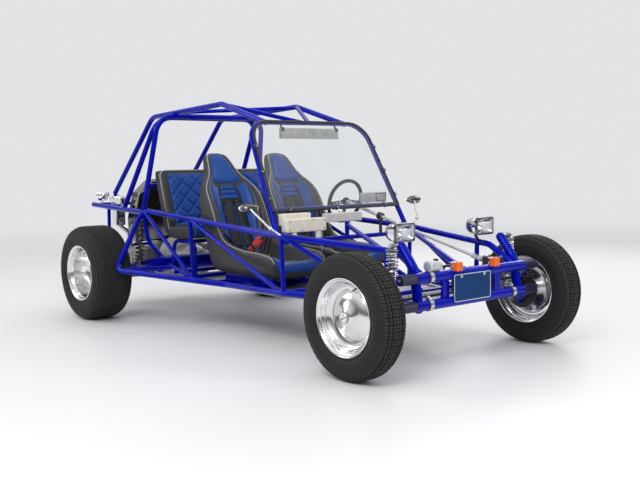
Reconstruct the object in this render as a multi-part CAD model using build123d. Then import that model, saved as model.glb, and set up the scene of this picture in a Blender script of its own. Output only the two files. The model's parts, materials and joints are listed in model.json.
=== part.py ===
from build123d import *
import os

# A four-seat tube-frame dune buggy, in millimetres. X runs forward, Y to the driver's left and
# Z up. The origin lies on the ground, under the middle of the vehicle's outline.

# Wheels and axles
WHEELBASE = 2769
FRONT_AXLE_X = 1525
REAR_AXLE_X = FRONT_AXLE_X - WHEELBASE
FRONT_TYRE_R = 328
FRONT_TYRE_W = 165
FRONT_SHOULDER = 46
FRONT_TYRE_Y = 730
REAR_TYRE_R = 343
REAR_TYRE_W = 290
REAR_SHOULDER = 78
REAR_TYRE_Y = 808
FRONT_HUB_Y = FRONT_TYRE_Y - 65
REAR_HUB_Y = REAR_TYRE_Y - 75
BORE_DEPTH = 30
FRONT_RIM_W = 140
REAR_RIM_W = 262
RIM_R = 203
SEAT_R = 190
SPINDLE_R = 17
SPINDLE_FIT = 0.05

# Frame tubes
MAIN_R = 19
BRACE_R = 14
FLOOR_Z = 335
BRACE_STEP = 18
STRUT_R = 16

# Stations of the rear frame along X, set from the rear axle
TORSION_X = REAR_AXLE_X + 364
TORSION_Z = 400
TORSION_R = 55
TORSION_HALF = 455
TAIL_X = REAR_AXLE_X - 616
TAIL_Z = 818
RAIL_HALF = 510
MAIN_FOOT_X = REAR_AXLE_X + 229
REAR_FOOT_X = REAR_AXLE_X - 86
LOOP_X = TAIL_X + 20
BENCH_FRONT_X = TORSION_X + 410

# Stations of the cabin and nose, set from the front axle
NOSE_POST_X = FRONT_AXLE_X - 118
DOOR_POST_X = FRONT_AXLE_X - 835
REAR_POST_X = DOOR_POST_X - 1043
SEAT_X = DOOR_POST_X - 690
BEAM_X = FRONT_AXLE_X + 158

# Bend points of the long tubes on the left, each (x, y, z)
SIDE_CORNER = (TORSION_X + 19, 835, 385)
SIDE_JOINT = (TORSION_X - 70, 677, 582)
WAIST_CORNER = (TORSION_X - 168, 509, 793)
PILLAR_FOOT = (DOOR_POST_X + 11, 540, 682)
HOOP_FOOT = (DOOR_POST_X - 34, 539, 682)
NOSE_CORNER = (NOSE_POST_X, 375, 631)
NOSE_SHOULDER = (FRONT_AXLE_X - 20, 372, 620)
ROOF_FRONT = (DOOR_POST_X - 410, 332, 1374)
ROOF_PEAK = (DOOR_POST_X - 922, 322, 1526)
ROOF_BACK = (TORSION_X - 319, 314, 1490)
ROOF_END = (TAIL_X + 25, 330, 905)
HOOP_TOP = (DOOR_POST_X - 402, 480, 1376)
HOOP_BEND = 150
MAIN_TOP = (TORSION_X + 27, 458, 1478)
REAR_TOP = (TORSION_X - 19, 440, 1470)
COWL_Z = 646
DASH_Z = 745
DASH_POST_Y = -20

# Front beam and its steering
BEAM_UPPER_Z = 505
BEAM_LOWER_Z = 362
BEAM_R = 30
BEAM_HALF = 438
TOWER_R = 27
TOWER_Y = BEAM_HALF - TOWER_R - 3
TOWER_TOP = (FRONT_AXLE_X + 31, 664)
TOWER_BEND = (BEAM_X - 34, 545)
SHOCK_Y = 474
BRACKET_Y = 212
ARM_Y = 535
EYE_H = 20
UPRIGHT_R = 12
ARM_DROP = 95
KINGPIN_Y = 625
STEER_ARM = 95
ARM_ROOT_Z = 366
TIE_ROD_Z = 410
ROD_R = 7
ROD_EYE_H = 8
PIN_H = 8
GAP = 0.3

# Steering wheel
WHEEL_CENTRE = (DOOR_POST_X - 345, 270, 856)
BOX_Y = WHEEL_CENTRE[1]
BOX_BACK_X = FRONT_AXLE_X + 30
BOX_INPUT_Z = 533
STEERING_R = 153
GRIP_R = 13
SHAFT_R = 10
SPOKE_ANGLES = (-8, 188, 270)

# Cabin
SEAT_Y = 262
SEAT_LOW = 392
SEAT_RAIL_Y = 120
BOLSTER = 65
BENCH_HALF = 470
BENCH_FRAME_Z = 578
PEDAL_X = NOSE_POST_X - 162
SHIFTER_X = SEAT_X + 410
GLOVE_Z = 700
PANE_T = 6
PANE_LOW = 150
SILL_UP = 168
PLATE_T = 3

# Engine and drive
CRANK_Z = 400
AXLE_Z = 372
FLANGE_Y = 140
FINS = 8
GENERATOR_Z = 720
BELL_X = REAR_AXLE_X - 190
CASE_BACK_X = BELL_X - 286
CASE_HALF = 95
HEAD_Y = 250
SHROUD_TOP = 1030
SHROUD_X = BELL_X - 46
SHROUD_T = 125

CENTRE_MIN = (Align.CENTER, Align.CENTER, Align.MIN)


def side(point, s):
    """The point on the left (s = 1) or its mirror image on the right (s = -1)."""
    return (point[0], point[1] * s, point[2])


def straight(start, end, radius):
    """A round bar from one point to another."""
    axis = Vector(*end) - Vector(*start)
    return Plane(origin=start, z_dir=axis) * Cylinder(radius, axis.length, align=CENTRE_MIN)


def bent(points, radius, bends):
    """A round bar along straight runs joined by arcs, one radius in bends for each corner."""
    path = FilletPolyline(*points, radius=bends)
    return sweep(Plane(origin=path @ 0, z_dir=path % 0) * Circle(radius), path=path)


def largest(shape):
    """The largest solid of a shape that a cut left in pieces."""
    return max(shape.solids(), key=lambda solid: solid.volume)


def cope(tube, *seats):
    """The tube with its ends fitted to the tubes that it lands on."""
    for seat in seats:
        tube = tube - seat
    return largest(tube)


def rod_x(x0, x1, y, z, radius):
    return straight((x0, y, z), (x1, y, z), radius)


def rod_y(y0, y1, x, z, radius):
    return straight((x, y0, z), (x, y1, z), radius)


def rod_z(z0, z1, x, y, radius):
    return straight((x, y, z0), (x, y, z1), radius)


def block(x0, x1, y0, y1, z0, z1, edge=0):
    """A box between two corners, its edges rounded when edge is given."""
    box = Pos((x0 + x1) / 2, (y0 + y1) / 2, (z0 + z1) / 2) * Box(x1 - x0, abs(y1 - y0), z1 - z0)
    return fillet(box.edges(), edge) if edge else box


# Wheels

def tyre(x, y, s, radius, width, shoulder):
    """A tyre with a flat tread and rounded shoulders, about an axis along Y."""
    half = width / 2
    flank = [(RIM_R + 4, half - 14), (radius - 75, half), (radius - 45, half - 0.07 * shoulder),
             (radius - 18, half - 0.32 * shoulder), (radius - 5, half - 0.6 * shoulder), (radius, half - shoulder)]
    section = Polyline(*flank, *[(r, -across) for r, across in reversed(flank)], flank[0])
    return Pos(x, y * s, radius) * revolve(make_face(section), Axis.Y)


def wheel(x, y, s, tyre_r, rim_w, dish, hub_y):
    """A spun wheel: barrel, dished disc and hub cap, with a blind bore for the spindle."""
    lip = rim_w / 2
    wall = 6
    disc = lip - dish
    section = Polyline(
        (0, disc + 34), (24, disc + 34), (34, disc + 12), (75, disc + 4), (120, disc - 14), (158, disc - 6),
        (168, disc), (SEAT_R - 14, lip - 22), (RIM_R - 14, lip), (RIM_R + 3, lip), (RIM_R + 3, lip - 12),
        (SEAT_R + 4, lip - 22), (SEAT_R + 4, -lip + 22), (RIM_R + 3, -lip + 12), (RIM_R + 3, -lip),
        (RIM_R - 6, -lip), (SEAT_R - wall, -lip + 22), (SEAT_R - wall, disc - 40), (150, disc - 26),
        (120, disc - 34), (75, disc - 16), (46, disc - 16), (46, hub_y), (0, hub_y), (0, disc + 34))
    turned = revolve(make_face(section), Axis.Y)
    turned -= rod_y(hub_y - 1, hub_y + BORE_DEPTH, 0, 0, SPINDLE_R + SPINDLE_FIT)
    if s < 0:
        turned = mirror(turned, Plane.XZ)
    return Pos(x, y * s, tyre_r) * turned


# Frame

def waist_rail(s):
    points = [SIDE_JOINT, WAIST_CORNER, PILLAR_FOOT, NOSE_CORNER, NOSE_SHOULDER,
              (BEAM_X, NOSE_SHOULDER[1], BEAM_UPPER_Z)]
    return bent([side(p, s) for p in points], MAIN_R, [60, 300, 120, 110])


def bottom_rail(s):
    points = [(BEAM_X, 365, BEAM_LOWER_Z), (NOSE_POST_X, 362, FLOOR_Z + 10), (DOOR_POST_X, 528, FLOOR_Z + 8),
              (REAR_POST_X, 507, FLOOR_Z), (TORSION_X, TORSION_HALF - 37, TORSION_Z)]
    return bent([side(p, s) for p in points], MAIN_R, [200, 400, 400])


def side_bar(s):
    points = [(REAR_POST_X + 450, 505, FLOOR_Z), SIDE_CORNER, SIDE_JOINT]
    return bent([side(p, s) for p in points], MAIN_R, [75])


def rear_rail(s):
    return straight(side((TAIL_X, RAIL_HALF, TAIL_Z), s), side((MAIN_FOOT_X, 521, 777), s), MAIN_R)


def hoop(foot, top, bend, radius=MAIN_R):
    """A hoop across the frame: a foot and a top corner on the left, both mirrored."""
    return bent([foot, top, side(top, -1), side(foot, -1)], radius, [bend, bend])


def roof_rail(s):
    return bent([side(p, s) for p in (ROOF_FRONT, ROOF_PEAK, ROOF_BACK, ROOF_END)], MAIN_R, [120, 160])


def strut(s):
    """The bent strut from the main hoop's foot down to the torsion housing."""
    points = [(MAIN_FOOT_X + 3, 521, 770), (MAIN_FOOT_X + 25, 500, 560),
              (TORSION_X - 20, TORSION_HALF - 55, TORSION_Z + 10)]
    return cope(bent([side(p, s) for p in points], STRUT_R, [150]), waist[s], rear[s], torsion_tube, bottom[s])


def outrigger(s):
    """The bar from the side bar's corner in to the bottom rail."""
    start = (SIDE_CORNER[0] + 10, SIDE_CORNER[1] - 20, SIDE_CORNER[2])
    return cope(straight(side(start, s), side((TORSION_X + 125, TORSION_HALF - 15, 382), s), BRACE_R), bars[s], bottom[s])


beam_upper = rod_y(-BEAM_HALF, BEAM_HALF, BEAM_X, BEAM_UPPER_Z, BEAM_R)
beam_lower = rod_y(-BEAM_HALF, BEAM_HALF, BEAM_X, BEAM_LOWER_Z, BEAM_R)
torsion_tube = rod_y(-TORSION_HALF, TORSION_HALF, TORSION_X, TORSION_Z, TORSION_R)


def tower(s):
    """The bent shock tower at the end of the beam, with rounded ends."""
    y = TOWER_Y * s
    top, bend, low = [(x, y, z) for x, z in (TOWER_TOP, TOWER_BEND, (BEAM_X - 6, BEAM_LOWER_Z - 14))]
    return bent([top, bend, low], TOWER_R, [70]) + Pos(*top) * Sphere(TOWER_R) + Pos(*low) * Sphere(TOWER_R)


front_beam = beam_upper + beam_lower + tower(1) + tower(-1)
for y in (-BRACKET_Y, BRACKET_Y):
    front_beam += block(BEAM_X - 8, BEAM_X + 8, y - 25, y + 25, BEAM_LOWER_Z, BEAM_UPPER_Z)

SIDES = (1, -1)
waist = {s: cope(waist_rail(s), front_beam) for s in SIDES}
bottom = {s: cope(bottom_rail(s), front_beam, torsion_tube) for s in SIDES}
bars = {s: cope(side_bar(s), bottom[s]) for s in SIDES}
bars = {s: cope(bars[s], waist[s]) for s in SIDES}
rear = {s: cope(rear_rail(s), waist[s]) for s in SIDES}
struts = {s: strut(s) for s in SIDES}
outriggers = {s: outrigger(s) for s in SIDES}

hoop_rise = Vector(HOOP_TOP[0] - HOOP_FOOT[0], 0, HOOP_TOP[2] - HOOP_FOOT[2])
sill_at = Vector(HOOP_FOOT[0], 0, HOOP_FOOT[2]) + hoop_rise.normalized() * SILL_UP
sill_half = HOOP_FOOT[1] + (HOOP_TOP[1] - HOOP_FOOT[1]) * SILL_UP / hoop_rise.length
windshield_hoop = hoop(HOOP_FOOT, HOOP_TOP, HOOP_BEND, STRUT_R)
windshield_hoop += rod_y(-sill_half, sill_half, sill_at.X, sill_at.Z, BRACE_R)
windshield_hoop = cope(windshield_hoop, waist[1], waist[-1])
roof = {s: cope(roof_rail(s), windshield_hoop) for s in SIDES}

main_hoop = cope(hoop((MAIN_FOOT_X, 521, 779), MAIN_TOP, 130), waist[1], waist[-1], rear[1], rear[-1],
                 roof[1], roof[-1])
harness_bar = cope(rod_y(-500, 500, MAIN_FOOT_X + 43, 975, BRACE_R), main_hoop)
main_hoop = main_hoop + harness_bar
rear_hoop = cope(hoop((REAR_FOOT_X, 513, 795), REAR_TOP, 130), rear[1], rear[-1], roof[1], roof[-1])

tail_bar = rod_y(-RAIL_HALF, RAIL_HALF, ROOF_END[0], TAIL_Z, BRACE_R)
loop_left = [(LOOP_X + 240, 506, 805), (LOOP_X + 200, 490, 620), (LOOP_X, 400, 470)]
tail_loop = bent(loop_left + [side(p, -1) for p in reversed(loop_left)], BRACE_R, [90, 70, 70, 90])
rear_cage = rear[1] + rear[-1] + tail_bar + tail_loop
for s in SIDES:
    rear_cage += rod_z(TAIL_Z, ROOF_END[2], ROOF_END[0], ROOF_END[1] * s, BRACE_R)
roof = {s: cope(roof[s], rear_cage) for s in SIDES}

# Straight braces of each side: start and end
BRACES = [
    ((REAR_POST_X, 507, FLOOR_Z), (REAR_POST_X, 527, 742)),
    ((DOOR_POST_X, 529, FLOOR_Z + 8), (DOOR_POST_X, 540, 682)),
    ((NOSE_POST_X, 362, FLOOR_Z + 10), (NOSE_POST_X, 375, 631)),
    ((MAIN_FOOT_X + 30, 521, 776), (REAR_POST_X - BRACE_STEP, 507, FLOOR_Z)),
    ((REAR_POST_X + BRACE_STEP, 527, 741), (DOOR_POST_X - BRACE_STEP, 529, FLOOR_Z + 8)),
    ((DOOR_POST_X + BRACE_STEP, 539, 681), (NOSE_POST_X - BRACE_STEP, 364, FLOOR_Z + 10)),
]
braces = {s: [cope(straight(side(start, s), side(end, s), BRACE_R), waist[s], bottom[s], struts[s])
              for start, end in BRACES] for s in SIDES}

# Floor crossmembers: x, half width, z
CROSSMEMBERS = [(TORSION_X + 260, 500, 362), (BENCH_FRONT_X, 515, FLOOR_Z + 2), (SEAT_X - 100, 515, FLOOR_Z),
                (SEAT_X + 280, 520, FLOOR_Z + 3), (DOOR_POST_X - 40, 525, FLOOR_Z + 6),
                (NOSE_POST_X - 207, 430, FLOOR_Z + 9)]
crossmembers = [cope(rod_y(-half, half, x, z, BRACE_R), bottom[1], bottom[-1]) for x, half, z in CROSSMEMBERS]

roof_braces = [cope(straight(side(ROOF_PEAK, s), (HOOP_TOP[0] - 5, 18 * s, HOOP_TOP[2]), BRACE_R), roof[s], windshield_hoop)
               for s in SIDES]
roof_braces.append(cope(straight((ROOF_PEAK[0] - 18, 322, 1520), (TORSION_X + 65, -314, 1503), BRACE_R), roof[1], roof[-1],
                        main_hoop, roof_braces[0]))

cowl_bar = cope(rod_y(-530, 530, DOOR_POST_X, COWL_Z, BRACE_R), braces[1][1], braces[-1][1])
dash_brace = straight((DOOR_POST_X, DASH_POST_Y, DASH_Z - 20), (NOSE_POST_X - 20, -380, 634), BRACE_R)
cowl = cowl_bar + rod_z(COWL_Z, DASH_Z, DOOR_POST_X, DASH_POST_Y, BRACE_R) + cope(dash_brace, waist[-1])
nose_brace = cope(straight((DOOR_POST_X - 50, 535, 684), (BEAM_X, -60, BEAM_UPPER_Z + 20), BRACE_R), waist[1], front_beam,
                  windshield_hoop, cowl)


def bench_leg(s):
    """A bent tube under the rear bench, from the bottom rail up, forward and down to a crossmember."""
    points = [(TORSION_X + 120, TORSION_HALF - 23, 385), (TORSION_X + 135, 420, BENCH_FRAME_Z), (BENCH_FRONT_X, 420, BENCH_FRAME_Z),
              (BENCH_FRONT_X, 420, FLOOR_Z)]
    return cope(bent([side(p, s) for p in points], BRACE_R, [60, 60]), bottom[s], crossmembers[1], crossmembers[0])


bench_frame = bench_leg(1) + bench_leg(-1)
for x in (BENCH_FRONT_X - 90, TORSION_X + 235):
    bench_frame += rod_y(-420, 420, x, BENCH_FRAME_Z, BRACE_R)

# Front axle

def front_arm(s, z):
    """A trailing arm: a stub in line with the beam, a tapered arm and a ball joint eye."""
    stub = rod_y(BEAM_HALF * s, (ARM_Y + 14) * s, BEAM_X, z, 27)
    start = Vector(BEAM_X, ARM_Y * s, z)
    end = Vector(FRONT_AXLE_X, KINGPIN_Y * s, z - ARM_DROP)
    arm = Plane(origin=start, z_dir=end - start) * Cone(17, 9, (end - start).length, align=CENTRE_MIN)
    return stub + arm + rod_z(z - ARM_DROP - EYE_H, z - ARM_DROP + EYE_H, FRONT_AXLE_X, KINGPIN_Y * s, 13)


def knuckle(s):
    """Upright, steering arm, brake drum and spindle of a steered wheel."""
    y = KINGPIN_Y * s
    hub = FRONT_HUB_Y * s
    low = BEAM_LOWER_Z - ARM_DROP + EYE_H + GAP
    high = BEAM_UPPER_Z - ARM_DROP - EYE_H - GAP
    boss = rod_y(y - 16 * s, y + 15 * s, FRONT_AXLE_X, FRONT_TYRE_R, 24)
    upright = rod_z(low, high, FRONT_AXLE_X, y, UPRIGHT_R) + boss
    plate = rod_y(y + 14 * s, y + 20 * s, FRONT_AXLE_X, FRONT_TYRE_R, 110)
    drum = rod_y(y + 20 * s, hub - GAP * s, FRONT_AXLE_X, FRONT_TYRE_R, 100)
    spindle = rod_y(y, hub + (BORE_DEPTH - GAP) * s, FRONT_AXLE_X, FRONT_TYRE_R, SPINDLE_R)
    arm = bent([(FRONT_AXLE_X, y, ARM_ROOT_Z), (FRONT_AXLE_X + 0.6 * STEER_ARM, y, TIE_ROD_Z),
                (FRONT_AXLE_X + STEER_ARM, y, TIE_ROD_Z)], ROD_R, [25])
    eye = rod_z(TIE_ROD_Z - PIN_H, TIE_ROD_Z + PIN_H, FRONT_AXLE_X + STEER_ARM, y, 13)
    return upright + plate + drum + spindle + arm + eye


def shock(top, base, spring_r, coils, start_share=0.09, run_share=0.74):
    """A coil-over: damper body, rod and coils between two perches, with an eye at each end."""
    axis = Vector(*base) - Vector(*top)
    start = start_share * axis.length
    pitch = run_share * axis.length / coils
    end = start + coils * pitch
    points = [(0, 0), (11, 0), (11, start - 6), (spring_r, start - 6), (spring_r, start)]
    for i in range(coils):
        base_y = start + i * pitch
        points += [(spring_r - 9, base_y + 0.12 * pitch), (spring_r, base_y + 0.32 * pitch),
                   (spring_r, base_y + 0.58 * pitch), (spring_r - 9, base_y + 0.78 * pitch)]
    points += [(spring_r, end), (spring_r, end + 6), (12, end + 6), (12, axis.length), (0, axis.length), (0, 0)]
    body = revolve(make_face(Polyline(*points)), Axis.Y)
    placed = Plane(origin=top, z_dir=axis) * (Rot(90, 0, 0) * body)
    return (placed + rod_y(top[1] - 13, top[1] + 13, top[0], top[2], 14)
            + rod_y(base[1] - 13, base[1] + 13, base[0], base[2], 14))


def front_shock(s):
    """The front coil-over with its stud through the tower and its stud into the lower arm."""
    top = (TOWER_TOP[0], SHOCK_Y * s, TOWER_TOP[1] + 8)
    base = (FRONT_AXLE_X + 37, (SHOCK_Y + 18) * s, 292)
    unit = shock(top, base, 32, 9) + rod_y(TOWER_Y * s, (SHOCK_Y + 14) * s, top[0], top[2], 8)
    return cope(unit + rod_y(base[1], (KINGPIN_Y - 21) * s, base[0], base[2], 8), arms[s, BEAM_LOWER_Z], front_beam)


arms = {(s, z): front_arm(s, z) for s in SIDES for z in (BEAM_UPPER_Z, BEAM_LOWER_Z)}

front_shocks = [front_shock(s) for s in SIDES]

# Steering: a box behind the beam, its arm and two tie rods make a parallelogram with the knuckles
box_body = block(BOX_BACK_X, BEAM_X - 20, BOX_Y - 32, BOX_Y + 32, 440, 562, 8)
box_body += block(FRONT_AXLE_X - 24, BOX_BACK_X + 20, BOX_Y - 24, BOX_Y + 24, 442, 484, 8)
steering_box = cope(box_body, front_beam) + rod_z(TIE_ROD_Z + PIN_H + GAP, 460, FRONT_AXLE_X, BOX_Y, 13)
pin_x = FRONT_AXLE_X + STEER_ARM
pitman_arm = (straight((FRONT_AXLE_X, BOX_Y, TIE_ROD_Z), (pin_x, BOX_Y, TIE_ROD_Z), 6.5)
              + rod_z(TIE_ROD_Z - PIN_H, TIE_ROD_Z + PIN_H, FRONT_AXLE_X, BOX_Y, 19)
              + rod_z(TIE_ROD_Z - PIN_H, TIE_ROD_Z + PIN_H, pin_x, BOX_Y, 13))


def tie_rod(s):
    """A tie rod: over the arms on the left, under them on the right."""
    z = TIE_ROD_Z + s * (PIN_H + GAP + ROD_EYE_H)
    rod = rod_y(BOX_Y, KINGPIN_Y * s, pin_x, z, ROD_R)
    for y in (BOX_Y, KINGPIN_Y * s):
        rod += rod_z(z - ROD_EYE_H, z + ROD_EYE_H, pin_x, y, 12)
    return rod


column_axis = Vector(BOX_BACK_X + 10, BOX_Y, BOX_INPUT_Z) - Vector(*WHEEL_CENTRE)
column_length = column_axis.length - 18
column_end = Vector(*WHEEL_CENTRE) + column_axis.normalized() * column_length
column_plane = Plane(origin=WHEEL_CENTRE, x_dir=(0, 1, 0), z_dir=column_axis)


def steering_wheel():
    """Grip ring, hub and three flat drilled spokes in the plane across the column."""
    reach = STEERING_R - GRIP_R
    shape = Torus(reach, GRIP_R) + Pos(0, 0, 12) * Cylinder(27, 30)
    for angle in SPOKE_ANGLES:
        spoke = Pos(reach / 2 + 5, 0, 6) * Box(reach - 10, 30, 4)
        for hole_x, hole_r in ((50, 8), (77, 7), (102, 6)):
            spoke -= Pos(hole_x, 0, 6) * Cylinder(hole_r, 8)
        shape += Rot(0, 0, angle) * spoke
    return column_plane * shape


shaft = column_plane * (Pos(0, 0, 20) * Cylinder(SHAFT_R, column_length - 20 - GAP, align=CENTRE_MIN))
steering_box += column_plane * (Pos(0, 0, column_length) * Cylinder(18, 45, align=CENTRE_MIN))
steering = steering_wheel() + shaft
bearing_t = (DOOR_POST_X - WHEEL_CENTRE[0]) / column_axis.X
bearing_at = Vector(*WHEEL_CENTRE) + column_axis * bearing_t
bearing = Plane(origin=bearing_at, z_dir=column_axis) * Cylinder(24, 30)
bearing += rod_z(COWL_Z, bearing_at.Z, DOOR_POST_X, bearing_at.Y, 10)
bearing = cope(bearing, straight(WHEEL_CENTRE, column_end, SHAFT_R + SPINDLE_FIT), cowl)

# Rear suspension and drive

def rear_arm(s):
    """A trailing arm: cover on the torsion housing, spring plate, diagonal arm and wheel bearing."""
    cover = rod_y(TORSION_HALF * s, (TORSION_HALF + 20) * s, TORSION_X, TORSION_Z, 62)
    outline = make_face(Polyline((TORSION_X, TORSION_Z + 50), (REAR_AXLE_X, REAR_TYRE_R + 42),
                                 (REAR_AXLE_X, REAR_TYRE_R - 42), (TORSION_X, TORSION_Z - 50),
                                 (TORSION_X, TORSION_Z + 50)))
    outline += Pos(TORSION_X, TORSION_Z) * Circle(50) + Pos(REAR_AXLE_X, REAR_TYRE_R) * Circle(42)
    spring_plate = Pos(0, (TORSION_HALF + 27) * s, 0) * extrude(Plane.XZ * outline, 7, both=True)
    housing = rod_y((TORSION_HALF + 20) * s, (REAR_HUB_Y - 60) * s, REAR_AXLE_X, REAR_TYRE_R, 40)
    drum = rod_y((REAR_HUB_Y - 60) * s, (REAR_HUB_Y - GAP) * s, REAR_AXLE_X, REAR_TYRE_R, 125)
    stub = rod_y((REAR_HUB_Y - 1) * s, (REAR_HUB_Y + BORE_DEPTH - GAP) * s, REAR_AXLE_X, REAR_TYRE_R, SPINDLE_R)
    diagonal = straight((TORSION_X - 40, 200 * s, TORSION_Z - 20), (REAR_AXLE_X + 30, (TORSION_HALF + 65) * s, REAR_TYRE_R), 22)
    return cope(cover + spring_plate + housing + drum + stub + diagonal, torsion_tube)


def half_shaft(s):
    """A drive shaft with a boot at each end, from the gearbox flange to the wheel bearing."""
    inner = FLANGE_Y
    outer = TORSION_HALF + 20
    points = [(0, inner), (48, inner), (48, inner + 30), (36, inner + 45), (30, inner + 70), (14, inner + 85),
              (14, outer - 85), (30, outer - 70), (36, outer - 45), (46, outer - 30), (46, outer - 8), (0, outer - 8)]
    shaft_body = revolve(make_face(Polyline(*points, (0, inner))), Axis.Y)
    if s < 0:
        shaft_body = mirror(shaft_body, Plane.XZ)
    return Pos(REAR_AXLE_X, 0, REAR_TYRE_R + 5) * shaft_body


def rear_shock(s):
    """The rear coil-over from a lug under the rear rail to a stud in the spring plate."""
    top = (REAR_AXLE_X + 146, 497 * s, 742)
    base = (REAR_AXLE_X + 148, (TORSION_HALF + 72) * s, 372)
    lug = rod_z(top[2], 785, top[0], top[1], 10)
    stud = rod_y((TORSION_HALF + 27) * s, (TORSION_HALF + 80) * s, base[0], base[2], 9)
    return cope(shock(top, base, 36, 9) + lug + stud, rear[s], rear_arms[s])


rear_arms = {s: rear_arm(s) for s in SIDES}
rear_shocks = [rear_shock(s) for s in SIDES]


def transaxle():
    """Nose, gear case, final drive and bell housing turned about one axis, with two side covers."""
    stations = [(TORSION_X - 40, 52), (TORSION_X - 130, 66), (TORSION_X - 150, 92), (REAR_AXLE_X + 94, 104),
                (REAR_AXLE_X + 64, 125), (REAR_AXLE_X - 66, 125), (REAR_AXLE_X - 106, 110),
                (BELL_X + 39, 165), (BELL_X + 14, 185), (BELL_X, 185)]
    points = [(stations[0][0], 0)] + stations + [(BELL_X, 0), (stations[0][0], 0)]
    body = Pos(0, 0, AXLE_Z) * revolve(make_face(Polyline(*points)), Axis.X)
    covers = rod_y(-FLANGE_Y, FLANGE_Y, REAR_AXLE_X, REAR_TYRE_R + 5, 62)
    return cope(body + covers, torsion_tube)


def finned_bank(s):
    """Two cylinders of one side as a fin stack, with the head and its rounded cover."""
    y0 = CASE_HALF * s
    bank = block(BELL_X - 266, BELL_X - 36, y0, HEAD_Y * s, CRANK_Z - 50, CRANK_Z + 50)
    for i in range(FINS):
        y = y0 + (i + 0.7) * (HEAD_Y - CASE_HALF) / FINS * s
        bank += block(BELL_X - 278, BELL_X - 24, y - 2, y + 2, CRANK_Z - 66, CRANK_Z + 66)
    head = block(BELL_X - 281, BELL_X - 21, HEAD_Y * s, (HEAD_Y + 70) * s, CRANK_Z - 75, CRANK_Z + 70, 8)
    cover = block(BELL_X - 266, BELL_X - 36, (HEAD_Y + 66) * s, (HEAD_Y + 100) * s, CRANK_Z - 62, CRANK_Z + 10, 14)
    return bank + head + cover


def engine_case():
    """Crankcase with sump and the crank pulley behind it."""
    case = block(CASE_BACK_X, BELL_X, -CASE_HALF, CASE_HALF, CRANK_Z - 130, CRANK_Z + 115, 18)
    sump = block(CASE_BACK_X + 30, BELL_X - 60, -75, 75, CRANK_Z - 172, CRANK_Z - 120, 14)
    hub = rod_x(CASE_BACK_X + 5, CASE_BACK_X - 45, 0, CRANK_Z, 28)
    pulley = rod_x(CASE_BACK_X - 30, CASE_BACK_X - 48, 0, CRANK_Z, 85)
    stand = block(BELL_X - 256, BELL_X - 206, -28, 28, CRANK_Z + 100, GENERATOR_Z - 50, 6)
    return case + sump + hub + pulley + stand


def fan_shroud():
    """The upright fan housing: wide foot, sloping shoulders and a round top over the fan."""
    low = CRANK_Z + 120
    outline = make_face(Polyline((-340, low), (340, low), (350, low + 190), (300, SHROUD_TOP - 120),
                                 (190, SHROUD_TOP - 25), (0, SHROUD_TOP), (-190, SHROUD_TOP - 25),
                                 (-300, SHROUD_TOP - 120), (-350, low + 190), (-340, low)))
    outline = fillet(outline.vertices(), 24)
    body = extrude(Plane.YZ * outline, -SHROUD_T)
    body = fillet(body.edges().group_by(Axis.X)[0] + body.edges().group_by(Axis.X)[-1], 16)
    return Pos(SHROUD_X, 0, 0) * body


shroud = fan_shroud()
generator_end = SHROUD_X - SHROUD_T - 140
generator = rod_x(SHROUD_X - SHROUD_T, generator_end, 0, GENERATOR_Z, 52)
generator += rod_x(generator_end, generator_end - 27, 0, GENERATOR_Z, 16)
generator += rod_x(generator_end - 9, generator_end - 27, 0, GENERATOR_Z, 68)


def carburettor(s):
    """Manifold leg, carburettor body and oval air cleaner on one head."""
    x, y = BELL_X - 231, (HEAD_Y + 142) * s
    leg = bent([(x, (HEAD_Y + 40) * s, CRANK_Z + 60), (x, (HEAD_Y + 60) * s, CRANK_Z + 190), (x, y, 660)], 22, [60])
    body = block(x - 40, x + 40, y - 42, y + 42, 650, 800, 10)
    cleaner = Pos(x, y, 852) * extrude(SlotOverall(170, 100), 30, both=True)
    neck = rod_z(795, 830, x, y, 32)
    return cope(leg, banks[s]) + body + neck + fillet(cleaner.edges().group_by(Axis.Z)[-1], 14)


banks = {s: finned_bank(s) for s in SIDES}
case = engine_case()
banks = {s: cope(banks[s], case) for s in SIDES}


def exhaust():
    """Header pipes from both heads into a muffler across the back."""
    port_x, back_x, z = BELL_X - 166, CASE_BACK_X - 52, CRANK_Z - 145
    muffler = rod_y(-300, 300, back_x, z, 50)
    muffler = fillet(muffler.edges(), 16)
    for s in SIDES:
        muffler += bent([(port_x, (HEAD_Y + 35) * s, CRANK_Z - 70), (port_x, (HEAD_Y + 35) * s, z),
                         (back_x, (HEAD_Y - 15) * s, z)], 20, [45])
    return muffler


pipes = cope(exhaust(), banks[1], banks[-1], case)
gearbox = transaxle()
case = cope(case, gearbox, generator)

# Cabin

def floor_pan():
    """Sheet floor between the bottom rails, under the crossmembers."""
    half = [(TORSION_X + 120, TORSION_HALF - 18), (REAR_POST_X, 507), (DOOR_POST_X, 528), (NOSE_POST_X, 362)]
    outline = half + [(x, -y) for x, y in reversed(half)] + [half[0]]
    sheet = Pos(0, 0, FLOOR_Z - BRACE_R - GAP - PLATE_T) * extrude(make_face(Polyline(*outline)), PLATE_T)
    return cope(sheet, bottom[1], bottom[-1], torsion_tube, bars[1], bars[-1])


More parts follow.
